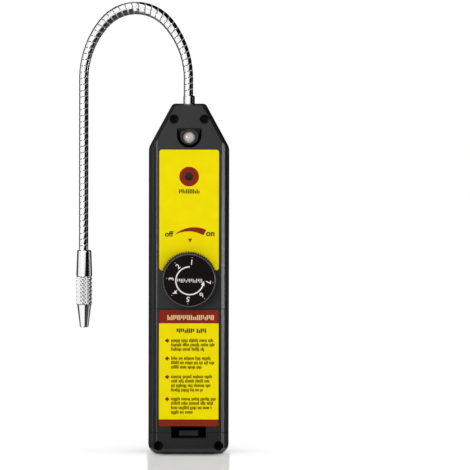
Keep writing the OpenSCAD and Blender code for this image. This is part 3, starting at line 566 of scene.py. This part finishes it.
def make_tip():
    """The tip turned from a profile of heights, radii and depths of knurl, up outside and down the bore."""
    bm = bmesh.new()
    knurl_low, knurl_high = GRIP_Z + GRIP_EDGE, TIP_TOP - GRIP_EDGE
    outer = [(NOSE_Z + NOSE_EDGE * up, NOSE_R - NOSE_EDGE * inward, 0) for up, inward in NOSE_ROUND]
    outer += [(GRIP_Z - ROOT_EDGE[0], NOSE_ROOT_R - ROOT_EDGE[1], 0), (GRIP_Z, NOSE_ROOT_R, 0)]
    first_knurl = len(outer)
    last_knurl = first_knurl + KNURL_ROWS
    for i in range(KNURL_ROWS + 1):
        outer.append((knurl_low + (knurl_high - knurl_low) * i / KNURL_ROWS, GRIP_R, KNURL_DEPTH))
    outer.append((TIP_TOP, NOSE_ROOT_R, 0))
    inner = [(TIP_TOP, BORE_R, 0), (BORE_Z, BORE_R, 0), (BORE_Z, INLET_R, 0), (NOSE_Z, INLET_R, 0)]
    profile = outer + inner
    rings = []
    for i, (z, radius, depth) in enumerate(profile):
        ring = []
        for k in range(KNURL_POINTS):
            a = 2 * math.pi * (k + 0.5) / KNURL_POINTS
            r = radius - (depth if (i + k) % 2 else 0)
            ring.append(bm.verts.new(((TIP_X + r * math.cos(a)) * MM, r * math.sin(a) * MM, z * MM)))
        rings.append(ring)
    for i in range(len(rings)):
        nxt = (i + 1) % len(rings)
        for k in range(KNURL_POINTS):
            m = (k + 1) % KNURL_POINTS
            a, b, c, d = rings[i][k], rings[nxt][k], rings[nxt][m], rings[i][m]
            if not first_knurl <= i < last_knurl:
                bm.faces.new((a, b, c, d))
            elif (i + k) % 2:
                bm.faces.new((a, b, c))
                bm.faces.new((a, c, d))
            else:
                bm.faces.new((a, b, d))
                bm.faces.new((b, c, d))
    tip = finish_mesh("knurled_tip", bm, chrome, smooth=True)
    tip.data.set_sharp_from_angle(angle=KNURL_SHARP)
    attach(tip, "tip")
    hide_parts("sensing_tip")


make_tip()


# Rows of short strokes that stand for lines of print: a stroke's width, the pitch, the height of a row, how
# far the ends of some strokes lie outside the row, and the least and most strokes in a group
TEXT_STROKES = (0.47, 0.74, 1.4, 0.55, 3, 8)
HEAD_STROKES = (0.66, 1.12, 2.8, -1.0, 40, 40)
SUB_STROKES = (0.74, 1.15, 2.6, -0.9, 4, 9)
DIAL_STROKES = (0.42, 0.97, 2.2, -0.9, 40, 40)
CAPTION_STROKES = (0.6, 1.0, 2.5, -0.9, 40, 40)
# Share of that unevenness at the foot of a stroke, and the gap after a group in pitches
FOOT_SHARE = 0.8
GROUP_GAP = 0.9


def add_stroke_row(bm, chance, x0, x1, z, y, size):
    """A row of strokes in groups, unreadable, centred at the height z."""
    width, pitch, height, uneven, fewest, most = size
    x = x0
    while x < x1 - width:
        for _ in range(chance.randint(fewest, most)):
            if x > x1 - width:
                break
            above, below = chance.choice(((0, 0), (0, 0), (0, 0), (uneven, 0), (0, uneven * FOOT_SHARE)))
            low = z - height / 2 - below
            high = z + height / 2 + above
            add_plate(bm, metres([(x, low), (x + width, low), (x + width, high), (x, high)]), y)
            x += pitch
        x += pitch * GROUP_GAP


# Prints on the upper label: the ring, the sweep from off to on, the mark over the knob, and words

RING_Z = 158.4
RING_R = 5.6
RING_HOLE_R = 2.5
SWEEP_TIP = (-8.1, 125.3)
SWEEP_CREST = (3.35, 129.55)
SWEEP_END = (9.9, 128.0)
SWEEP_HEEL = (8.2, 124.9)
SWEEP_UNDER = (0.3, 127.15)
SWEEP_STEPS = 18
MARK_Z = (123.05, 120.8)
MARK_X = 0.6
MARK_HALF = 1.2
# Each word with the place of its middle, its width and its height
WORDS = (("off", (-11.3, 125.7), 4.9, 3.25), ("on", (12.1, 125.6), 4.75, 2.5))
WORD_WEIGHT = 0.024
# Left end, right end and height of the caption under the ring
CAPTION = (-5.7, 6.4, 150.0)
CAPTION_SEED = 5


def make_front_prints():
    y = front_label_y
    red = bmesh.new()
    add_band(red, place(0, RING_Z), RING_HOLE_R * MM, RING_R * MM, 0, 360, y)
    upper = arc_through(SWEEP_TIP, SWEEP_CREST, SWEEP_END, SWEEP_STEPS)
    lower = arc_through(SWEEP_TIP, SWEEP_UNDER, SWEEP_HEEL, SWEEP_STEPS)
    add_plate(red, metres(upper + lower[:0:-1])[::-1], y)
    add_plate(red, metres([
        (MARK_X - MARK_HALF, MARK_Z[0]), (MARK_X, MARK_Z[1]), (MARK_X + MARK_HALF, MARK_Z[0]),
    ]), y)
    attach(finish_mesh("front_print_red", red, ink_red), "case")
    dark = bmesh.new()
    for word, middle, width, height in WORDS:
        add_text(dark, word, place(*middle), y, height * MM, WORD_WEIGHT, width=width * MM)
    add_stroke_row(dark, random.Random(CAPTION_SEED), *CAPTION, y, CAPTION_STROKES)
    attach(finish_mesh("front_print_dark", dark, ink_dark), "case")


make_front_prints()


# Prints on the dial, and a grey ring of painted highlight on the edge of the knob's face

# The dial's height, and how far the middle of its print lies off its own
DIAL_Z = (dial_lo.z + dial_hi.z) / 2 / MM
DIAL_OFF = (0.4, -0.2)
# Numerals, each with a dot outside it
NUMERALS = 7
FIRST_ANGLE = 84.1
STEP_ANGLE = 45.2
NUMERAL_R = 10.6
NUMERAL_H = 2.9
NUMERAL_WEIGHT = 0.013
DOT_R = 13.15
DOT_SIZE = 0.2
DOT_SIDES = 12
# The curved arrow
ARROW_R = 7.9
ARROW_W = 0.72
ARROW_FROM = 90.0
ARROW_TO = 340.5
HEAD_LEN = 2.5
HEAD_HALF = 1.1
HEAD_LEAN = 0.25
# Left and right end of the row of strokes across the middle
LEVEL_X = (-6.6, 7.6)
LEVEL_SEED = 3
# The ring of painted highlight: its inner and outer radius, how far each lies behind the knob's face, and
# half its thickness
RIM_R = (14.55, 14.95)
RIM_BACK = (0.0, 0.25)
RIM_T = 0.06
RIM_STEPS = 96


def make_dial_prints():
    y = dial_lo.y
    white = bmesh.new()
    middle_x, middle_z = DIAL_OFF[0], DIAL_Z + DIAL_OFF[1]
    centre = place(middle_x, middle_z)
    for k in range(NUMERALS):
        angle = FIRST_ANGLE + STEP_ANGLE * k
        a = math.radians(angle)
        spot = place(middle_x + NUMERAL_R * math.cos(a), middle_z + NUMERAL_R * math.sin(a))
        add_text(white, str(k + 1), spot, y, NUMERAL_H * MM, NUMERAL_WEIGHT, turn=angle - 90)
        dot = place(middle_x + DOT_R * math.cos(a), middle_z + DOT_R * math.sin(a))
        add_plate(white, arc(dot, DOT_SIZE * MM, 0, 360 - 360 / DOT_SIDES, DOT_SIDES - 1), y)
    inner_r, outer_r = (ARROW_R - ARROW_W / 2) * MM, (ARROW_R + ARROW_W / 2) * MM
    add_band(white, centre, inner_r, outer_r, ARROW_FROM, ARROW_TO, y)
    a = math.radians(ARROW_TO)
    root = Vector((middle_x + ARROW_R * math.cos(a), middle_z + ARROW_R * math.sin(a)))
    ahead = Vector((-math.sin(a), math.cos(a)))
    outward = Vector((math.cos(a), math.sin(a)))
    point = root + ahead * HEAD_LEN - outward * HEAD_LEAN
    head = [root + outward * HEAD_HALF, point, root - outward * HEAD_HALF]
    add_plate(white, metres(head), y)
    add_stroke_row(white, random.Random(LEVEL_SEED), *LEVEL_X, middle_z, y, DIAL_STROKES)
    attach(finish_mesh("dial_print", white, ink_white), "knob")


# A grey ring of painted highlight on the knob's edge round the dial
def make_rim_highlight():
    rim = bmesh.new()
    face_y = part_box("knob")[0].y
    section = [
        (RIM_R[0], RIM_BACK[0] - RIM_T), (RIM_R[1], RIM_BACK[1] - RIM_T),
        (RIM_R[1], RIM_BACK[1] + RIM_T), (RIM_R[0], RIM_BACK[0] + RIM_T),
    ]
    rings = []
    for r, back in section:
        ring = arc(place(0, DIAL_Z), r * MM, 0, 360 - 360 / RIM_STEPS, RIM_STEPS - 1)
        rings.append([rim.verts.new((x, face_y + back * MM, z)) for x, z in ring])
    for s in range(len(rings)):
        a, b = rings[s], rings[(s + 1) % len(rings)]
        for k in range(RIM_STEPS):
            m = (k + 1) % RIM_STEPS
            rim.faces.new((a[k], a[m], b[m], b[k]))
    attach(finish_mesh("dial_rim_highlight", rim, painted_rim_highlight), "knob")


make_dial_prints()
make_rim_highlight()


# Prints on the door's label

# Lower edge of the red head, upper edge of the red foot, and the label's corners
HEAD_Z = 74.7
FOOT_Z = 19.8
LABEL_R = 1.5
# Left end, right end and height of the two rows above the blocks
HEADING = (-12.2, 14.7, 78.0)
SUBHEADING = (-6.9, 11.1, 70.45)
# Bullets, and the left end and pitch of the rows beside them
BULLET_X = -12.3
BULLET_HALF = (1.4, 1.25)
ROW_X = -10.0
ROW_PITCH = 2.52
DOOR_SEED = 7
# Each block of rows: the height of its first row and the right ends of its rows
BLOCKS = [
    (64.8, (14.4, 14.7, 8.8)), (54.6, (13.3, 14.5, 7.7)),
    (44.1, (14.4, 12.2, 12.8, 8.1)), (31.4, (15.6, 14.5, 13.3, 2.3)),
]


def make_door_prints():
    y = door_label_lo.y
    half = door_label_hi.x / MM
    low, high = door_label_lo.z / MM, door_label_hi.z / MM
    red = bmesh.new()
    add_plate(red, metres(rounded_rect(-half, HEAD_Z, half, high, LABEL_R, (0, 1, 1, 0))), y)
    add_plate(red, metres(rounded_rect(-half, low, half, FOOT_Z, LABEL_R, (1, 0, 0, 1))), y)
    for z, _ in BLOCKS:
        add_plate(red, metres([
            (BULLET_X + BULLET_HALF[0], z), (BULLET_X, z + BULLET_HALF[1]),
            (BULLET_X - BULLET_HALF[0], z), (BULLET_X, z - BULLET_HALF[1]),
        ]), y)
    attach(finish_mesh("door_print_red", red, ink_red), "door")
    pale = bmesh.new()
    chance = random.Random(DOOR_SEED)
    add_stroke_row(pale, chance, *HEADING, y - PRINT_T, HEAD_STROKES)
    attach(finish_mesh("door_print_pale", pale, ink_pale), "door")
    dark = bmesh.new()
    add_stroke_row(dark, chance, *SUBHEADING, y, SUB_STROKES)
    for z, ends in BLOCKS:
        for i, end in enumerate(ends):
            add_stroke_row(dark, chance, ROW_X, end, z - i * ROW_PITCH, y, TEXT_STROKES)
    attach(finish_mesh("door_print_dark", dark, ink_dark), "door")


make_door_prints()


# A black sheet of painted shade on the floor of the latch recess, the ramp that leads down to the lamp, and
# a black U of painted shade round the lamp

LATCH_DEPTH = 6.0
LATCH_SHADE_HALF = 9.9
# Lower and upper end of each body's black sheet of painted shade
LATCH_SHADE_Z = {"case": (9.05, 11.95), "door": (12.35, 15.9)}
# The ramp: it starts flush with the face, falls to its deepest and ends at a hole round the lamp
LAMP_Z = 180.7
RAMP_HALF = 6.9
RAMP_KNEE = 4.2
RAMP_END_Z = 185.4
RAMP_TOP = 187.0
RAMP_HOLE_R = 4.9
RAMP_FLUSH_Z = 185.9
RAMP_FALL = 0.6
RAMP_DEEPEST = 1.25
RAMP_BACK = 3.3
RAMP_COLUMNS = 24
RAMP_ROWS = 9
# The black U of painted shade round the lamp: a half ring between two circles, drawn out to a tip at each
# end
LAMP_SHADE_R = 6.9
LAMP_SHADE_Z = 181.8
LAMP_SHADE_HOLE_R = 5.2
LAMP_SHADE_HOLE_Z = 181.7
LAMP_SHADE_END_Z = 185.3
LAMP_SHADE_DEPTH = 1.0
LAMP_SHADE_T = 0.1
LAMP_SHADE_STEPS = 32


# A black sheet on the recess floor, one on the case and one on the door, is painted shade
def make_latch_shade():
    floor_y = front_y + LATCH_DEPTH * MM
    for body, (low, high) in LATCH_SHADE_Z.items():
        bm = bmesh.new()
        outline = [(-LATCH_SHADE_HALF, low), (LATCH_SHADE_HALF, low), (LATCH_SHADE_HALF, high), (-LATCH_SHADE_HALF, high)]
        add_plate(bm, metres(outline), floor_y)
        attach(finish_mesh("latch_painted_shade_" + body, bm, painted_shade_black), body)


def make_ramp():
    bm = bmesh.new()
    front, back = [], []
    for i in range(RAMP_COLUMNS + 1):
        x = RAMP_HALF * (2 * i / RAMP_COLUMNS - 1)
        knee_z = LAMP_Z + math.sqrt(RAMP_HOLE_R ** 2 - min(abs(x), RAMP_KNEE) ** 2)
        low = knee_z + (RAMP_END_Z - knee_z) * max(0.0, abs(x) - RAMP_KNEE) / (RAMP_HALF - RAMP_KNEE)
        heights = [RAMP_TOP + (low - RAMP_TOP) * k / RAMP_ROWS for k in range(RAMP_ROWS + 1)]
        depths = [min(RAMP_DEEPEST, RAMP_FALL * max(0.0, RAMP_FLUSH_Z - z)) for z in heights]
        front.append([bm.verts.new((x * MM, front_y + d * MM, z * MM)) for d, z in zip(depths, heights)])
        back.append([bm.verts.new((x * MM, front_y + RAMP_BACK * MM, z * MM)) for z in heights])
    for i in range(RAMP_COLUMNS):
        for k in range(RAMP_ROWS):
            for sheet in (front, back):
                bm.faces.new((sheet[i][k], sheet[i + 1][k], sheet[i + 1][k + 1], sheet[i][k + 1]))
        for k in (0, RAMP_ROWS):
            bm.faces.new((front[i][k], front[i + 1][k], back[i + 1][k], back[i][k]))
    for i in (0, RAMP_COLUMNS):
        for k in range(RAMP_ROWS):
            bm.faces.new((front[i][k], front[i][k + 1], back[i][k + 1], back[i][k]))
    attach(finish_mesh("lamp_ramp", bm, case_black), "case")


# A black U round the lamp is painted shade in the hollow there
def make_lamp_shade():
    bm = bmesh.new()
    outer = metres(arc((0, LAMP_SHADE_Z), LAMP_SHADE_R, 180, 360, LAMP_SHADE_STEPS))
    inner = metres(arc((0, LAMP_SHADE_HOLE_Z), LAMP_SHADE_HOLE_R, 180, 360, LAMP_SHADE_STEPS))
    near = front_y + LAMP_SHADE_DEPTH * MM
    far = near + LAMP_SHADE_T * MM
    rows = []
    for (xo, zo), (xi, zi) in zip(outer, inner):
        rows.append([
            bm.verts.new((xo, near, zo)), bm.verts.new((xi, near, zi)),
            bm.verts.new((xi, far, zi)), bm.verts.new((xo, far, zo)),
        ])
    for a, b in zip(rows, rows[1:]):
        for s in range(4):
            bm.faces.new((a[s], a[(s + 1) % 4], b[(s + 1) % 4], b[s]))
    for row, side in ((rows[0], -1), (rows[-1], 1)):
        tip_x, tip_z = place(side * LAMP_SHADE_R, LAMP_SHADE_END_Z)
        front = bm.verts.new((tip_x, near, tip_z))
        back = bm.verts.new((tip_x, far, tip_z))
        bm.faces.new((row[0], row[1], front))
        bm.faces.new((row[3], row[2], back))
        bm.faces.new((row[1], row[2], back, front))
        bm.faces.new((row[0], row[3], back, front))
    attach(finish_mesh("lamp_painted_shade", bm, painted_shade_black), "case")


make_latch_shade()
make_ramp()
make_lamp_shade()


# Stage: floor, sky, soft lights, and cards that only reflections see

def add_stage_piece(name, bm, material):
    """A piece of the stage, whose faces keep the way they look."""
    mesh = bpy.data.meshes.new(name)
    bm.to_mesh(mesh)
    bm.free()
    mesh.materials.append(material)
    obj = bpy.data.objects.new(name, mesh)
    bpy.context.scene.collection.objects.link(obj)
    return obj


def add_plane(name, corners, material):
    bm = bmesh.new()
    bm.faces.new([bm.verts.new(c) for c in corners])
    return add_stage_piece(name, bm, material)


def math_node(tree, operation, first, second):
    node = tree.nodes.new("ShaderNodeMath")
    node.operation = operation
    for socket, value in zip(node.inputs, (first, second)):
        if isinstance(value, float):
            socket.default_value = value
        else:
            tree.links.new(value, socket)
    return node.outputs[0]


def seen_directly(tree):
    """One for camera, glossy and transmission rays, zero for the light that falls on surfaces."""
    path = tree.nodes.new("ShaderNodeLightPath")
    value = path.outputs["Is Camera Ray"]
    for kind in ("Is Glossy Ray", "Is Transmission Ray"):
        value = math_node(tree, "MAXIMUM", value, path.outputs[kind])
    return value


# The floor is matt, but for a patch in front of the base that mirrors it faintly. The pairs are where the
# patch fades at its sides, where it begins, where it ends, and where it is stronger close to the base.
FLOOR_HALF = 6.0
FLOOR_WHITE = 0.9
FLOOR_POLISH = 0.05
FLOOR_GLOSS = 0.4
GLOSS_HALF = (22.4 * MM, 24.6 * MM)
GLOSS_START = (9 * MM, 14 * MM)
GLOSS_REACH = (120 * MM, 170 * MM)
GLOSS_NARROWS = 0.53
GLOSS_DRIFT = 0.0078
CONTACT = 0.55
CONTACT_HALF = (13 * MM, 21 * MM)
CONTACT_REACH = (12 * MM, 34 * MM)


def axis_fade(tree, value, start, stop):
    """One before start, falling to zero at stop."""
    fade = tree.nodes.new("ShaderNodeMapRange")
    fade.interpolation_type = "SMOOTHSTEP"
    fade.inputs["From Min"].default_value = start
    fade.inputs["From Max"].default_value = stop
    fade.inputs["To Min"].default_value = 1.0
    fade.inputs["To Max"].default_value = 0.0
    tree.links.new(value, fade.inputs["Value"])
    return fade.outputs["Result"]


def make_floor():
    material = bpy.data.materials.new("floor")
    material.use_nodes = True
    tree = material.node_tree
    tree.nodes.clear()
    matt = tree.nodes.new("ShaderNodeBsdfDiffuse")
    matt.inputs["Color"].default_value = (FLOOR_WHITE, FLOOR_WHITE, FLOOR_WHITE, 1)
    gloss = tree.nodes.new("ShaderNodeBsdfGlossy")
    gloss.inputs["Roughness"].default_value = FLOOR_POLISH
    coordinates = tree.nodes.new("ShaderNodeTexCoord")
    split = tree.nodes.new("ShaderNodeSeparateXYZ")
    tree.links.new(coordinates.outputs["Object"], split.inputs["Vector"])
    ahead = math_node(tree, "MULTIPLY", split.outputs["Y"], -1.0)
    past_front = math_node(tree, "SUBTRACT", ahead, GLOSS_START[1])
    narrowing = math_node(tree, "ADD", math_node(tree, "MULTIPLY", past_front, GLOSS_NARROWS), 1.0)
    across = math_node(tree, "MULTIPLY", split.outputs["X"], narrowing)
    across = math_node(tree, "ADD", across, math_node(tree, "MULTIPLY", past_front, GLOSS_DRIFT))
    aside = math_node(tree, "ABSOLUTE", across, 0.0)
    sideways = axis_fade(tree, aside, *GLOSS_HALF)
    forward = axis_fade(tree, ahead, *GLOSS_REACH)
    begun = math_node(tree, "SUBTRACT", forward, axis_fade(tree, ahead, *GLOSS_START))
    under = axis_fade(tree, aside, *CONTACT_HALF)
    contact = math_node(tree, "MULTIPLY", under, axis_fade(tree, ahead, *CONTACT_REACH))
    level = math_node(tree, "ADD", math_node(tree, "MULTIPLY", contact, CONTACT), FLOOR_GLOSS)
    share = math_node(tree, "MULTIPLY", math_node(tree, "MULTIPLY", sideways, begun), level)
    glow = tree.nodes.new("ShaderNodeEmission")
    lit = tree.nodes.new("ShaderNodeAddShader")
    mixed = tree.nodes.new("ShaderNodeMixShader")
    out = tree.nodes.new("ShaderNodeOutputMaterial")
    tree.links.new(math_node(tree, "MULTIPLY", seen_directly(tree), FLOOR_FILL), glow.inputs["Strength"])
    tree.links.new(matt.outputs[0], lit.inputs[0])
    tree.links.new(glow.outputs[0], lit.inputs[1])
    tree.links.new(share, mixed.inputs["Fac"])
    tree.links.new(lit.outputs[0], mixed.inputs[1])
    tree.links.new(gloss.outputs[0], mixed.inputs[2])
    tree.links.new(mixed.outputs[0], out.inputs["Surface"])
    h = FLOOR_HALF
    add_plane("floor", [(-h, -h, 0), (h, -h, 0), (h, h, 0), (-h, h, 0)], material)


def make_sky():
    world = bpy.data.worlds.new("sky")
    bpy.context.scene.world = world
    world.use_nodes = True
    tree = world.node_tree
    tree.nodes.clear()
    soft = tree.nodes.new("ShaderNodeBackground")
    soft.inputs["Strength"].default_value = AMBIENT
    white = tree.nodes.new("ShaderNodeBackground")
    white.inputs["Strength"].default_value = 1.0
    for node in (soft, white):
        node.inputs["Color"].default_value = (1, 1, 1, 1)
    mix = tree.nodes.new("ShaderNodeMixShader")
    out = tree.nodes.new("ShaderNodeOutputWorld")
    tree.links.new(seen_directly(tree), mix.inputs["Fac"])
    tree.links.new(soft.outputs[0], mix.inputs[1])
    tree.links.new(white.outputs[0], mix.inputs[2])
    tree.links.new(mix.outputs[0], out.inputs["Surface"])


def aim(obj, spot, target):
    obj.location = spot
    obj.rotation_mode = "QUATERNION"
    obj.rotation_quaternion = (Vector(target) - Vector(spot)).to_track_quat("-Z", "Y")


# What the lights aim at
CENTRE = Vector((0, 0, 0.11))


def add_light(name, angle, rise, distance, size, power, diffuse=True, glossy=True):
    """A soft box at an angle to the right of the camera's direction, in degrees, aimed at the case."""
    data = bpy.data.lights.new(name, "AREA")
    data.shape = "RECTANGLE"
    data.size, data.size_y = size
    data.energy = power
    lamp = bpy.data.objects.new(name, data)
    bpy.context.scene.collection.objects.link(lamp)
    a, e = math.radians(angle), math.radians(rise)
    direction = Vector((math.sin(a) * math.cos(e), -math.cos(a) * math.cos(e), math.sin(e)))
    aim(lamp, CENTRE + direction * distance, CENTRE)
    lamp.visible_diffuse = diffuse
    lamp.visible_glossy = glossy


# Cards, in metres: the walls' steps, radius and upper end, and the height of the lower cards over the floor
CARD_STEPS = 16
CARD_R = 1.3
CARD_TOP = 3.2
CARD_LOW = 0.003
# Lines where the floor's cards meet or end, and the tops of the small cards beside the case and the probe
MIDWAY_X = -0.03
NEAR_Y = -0.19
FAR_Y = -0.45
NEAR_X = 0.6
FLOOR_END = 1.34
SIDE_TOP = 0.178
PROBE_TOP = 0.118


def card_material(name, shade):
    """One shade on the side that looks at the object, and open from behind."""
    material = bpy.data.materials.new(name)
    material.use_nodes = True
    tree = material.node_tree
    tree.nodes.clear()
    glow = tree.nodes.new("ShaderNodeEmission")
    glow.inputs["Color"].default_value = (shade, shade, shade, 1)
    clear = tree.nodes.new("ShaderNodeBsdfTransparent")
    side = tree.nodes.new("ShaderNodeNewGeometry")
    mix = tree.nodes.new("ShaderNodeMixShader")
    out = tree.nodes.new("ShaderNodeOutputMaterial")
    tree.links.new(side.outputs["Backfacing"], mix.inputs["Fac"])
    tree.links.new(glow.outputs[0], mix.inputs[1])
    tree.links.new(clear.outputs[0], mix.inputs[2])
    tree.links.new(mix.outputs[0], out.inputs["Surface"])
    return material


def reflected_only(card):
    card.visible_camera = False
    card.visible_diffuse = False
    card.visible_transmission = False
    card.visible_shadow = False


def add_wall_card(name, start, stop, shade, low=CARD_LOW, high=CARD_TOP, roof=False):
    """A card bent round the object, between two angles to the right of the camera's direction."""
    bm = bmesh.new()
    pairs = []
    for i in range(CARD_STEPS + 1):
        a = math.radians(start + (stop - start) * i / CARD_STEPS)
        x, y = CARD_R * math.sin(a), -CARD_R * math.cos(a)
        pairs.append((bm.verts.new((x, y, low)), bm.verts.new((x, y, high))))
    for (a, b), (c, d) in zip(pairs, pairs[1:]):
        bm.faces.new((a, b, d, c))
    if roof:
        peak = bm.verts.new((0, 0, high))
        for (_, b), (_, d) in zip(pairs, pairs[1:]):
            bm.faces.new((peak, d, b))
    reflected_only(add_stage_piece(name, bm, card_material(name, shade)))


def add_card(name, corners, shade):
    """A flat card of one shade on the side from which its corners run anticlockwise."""
    reflected_only(add_plane(name, corners, card_material(name, shade)))


def add_floor_card(name, outline, shade):
    add_card(name, [(x, y, CARD_LOW) for x, y in outline], shade)


def add_upright_card(name, start, stop, low, high, shade):
    """A small upright card over a line on the floor, facing right of the way from start to stop."""
    add_card(name, [(*start, low), (*stop, low), (*stop, high), (*start, high)], shade)


make_floor()
make_sky()
add_light("top_soft_box", angle=-10, rise=62, distance=0.9, size=(0.7, 0.5), power=0.5)
add_light("right_strip", angle=80, rise=-1.4, distance=0.8, size=(0.2, 0.12), power=2.1)
add_light("left_strip", angle=-32, rise=9, distance=0.9, size=(0.06, 0.4), power=5.5, diffuse=False)
add_light("front_fill", angle=0, rise=-3, distance=0.9, size=(0.5, 0.1), power=0.9, glossy=False)

# Walls that give the chrome its dark sides
add_wall_card("right_low_card", 20, 180, 0.004, high=0.3)
add_wall_card("right_card", 34, 180, 0.004, low=0.3, roof=True)
add_wall_card("left_back_card", 180, 260, 0.06)

# Shades on the floor for the underside of the arch and for the knurl
add_floor_card("right_floor_card", [
    (MIDWAY_X, NEAR_Y), (FLOOR_END, NEAR_Y), (FLOOR_END, FLOOR_END), (MIDWAY_X, FLOOR_END),
], 0.08)
add_floor_card("left_floor_card", [(-1.2, 0.03), (MIDWAY_X, 0.03), (MIDWAY_X, 1.2), (-1.2, 1.2)], 0.08)
add_floor_card("near_floor_card", [
    (MIDWAY_X, FAR_Y), (NEAR_X, FAR_Y), (NEAR_X, NEAR_Y), (MIDWAY_X, NEAR_Y),
], 0.045)
add_floor_card("front_floor_card", [(MIDWAY_X, -2.3), (0.4, -2.3), (0.4, FAR_Y), (MIDWAY_X, FAR_Y)], 0.1)
add_floor_card("far_floor_card", [
    (0.16, FAR_Y), (0.44, -1.28), (0.96, -0.96), (FLOOR_END, -0.36),
    (FLOOR_END, NEAR_Y), (NEAR_X, NEAR_Y), (NEAR_X, FAR_Y),
], 0.02)
add_floor_card("crown_floor_card", [(-0.15, 0.03), (MIDWAY_X, -0.2), (MIDWAY_X, 0.03)], 0.12)

# A flag that hides the right strip from the hose, the tones of the case's left edge, and those of the probe
add_upright_card("strip_flag", (0.15, 0.0), (0.15, -0.075), 0.172, 0.215, 0.004)
add_upright_card("bevel_card", (-0.04, -0.025), (-0.04, -0.016), CARD_LOW, SIDE_TOP, 0.01)
add_upright_card("edge_card", (-0.04, -0.0145), (-0.04, 0.0), CARD_LOW, SIDE_TOP, 0.7)
add_upright_card("probe_flag", (0.3, -0.17), (0.0, -0.4), CARD_LOW, PROBE_TOP, 0.006)
add_upright_card("probe_light_card", (-0.034, 0.004), (-0.034, -0.004), 0.055, PROBE_TOP, 0.75)


# Camera

camera_data = bpy.data.cameras.new("camera")
camera_data.sensor_width = SENSOR
camera_data.lens = LENS
camera = bpy.data.objects.new("camera", camera_data)
bpy.context.scene.collection.objects.link(camera)
camera_distance = FRAME_PIXELS * PIXEL * LENS / SENSOR
aim_at = Vector((AIM_X, front_y, AIM_Z))
off_axis = math.hypot(CAMERA_X - AIM_X, CAMERA_Z - AIM_Z)
aim(camera, (CAMERA_X, aim_at.y - math.sqrt(camera_distance ** 2 - off_axis ** 2), CAMERA_Z), aim_at)
camera.rotation_quaternion = camera.rotation_quaternion @ Quaternion((0, 0, 1), ROLL)
bpy.context.scene.camera = camera
bpy.context.scene.view_settings.view_transform = "Standard"
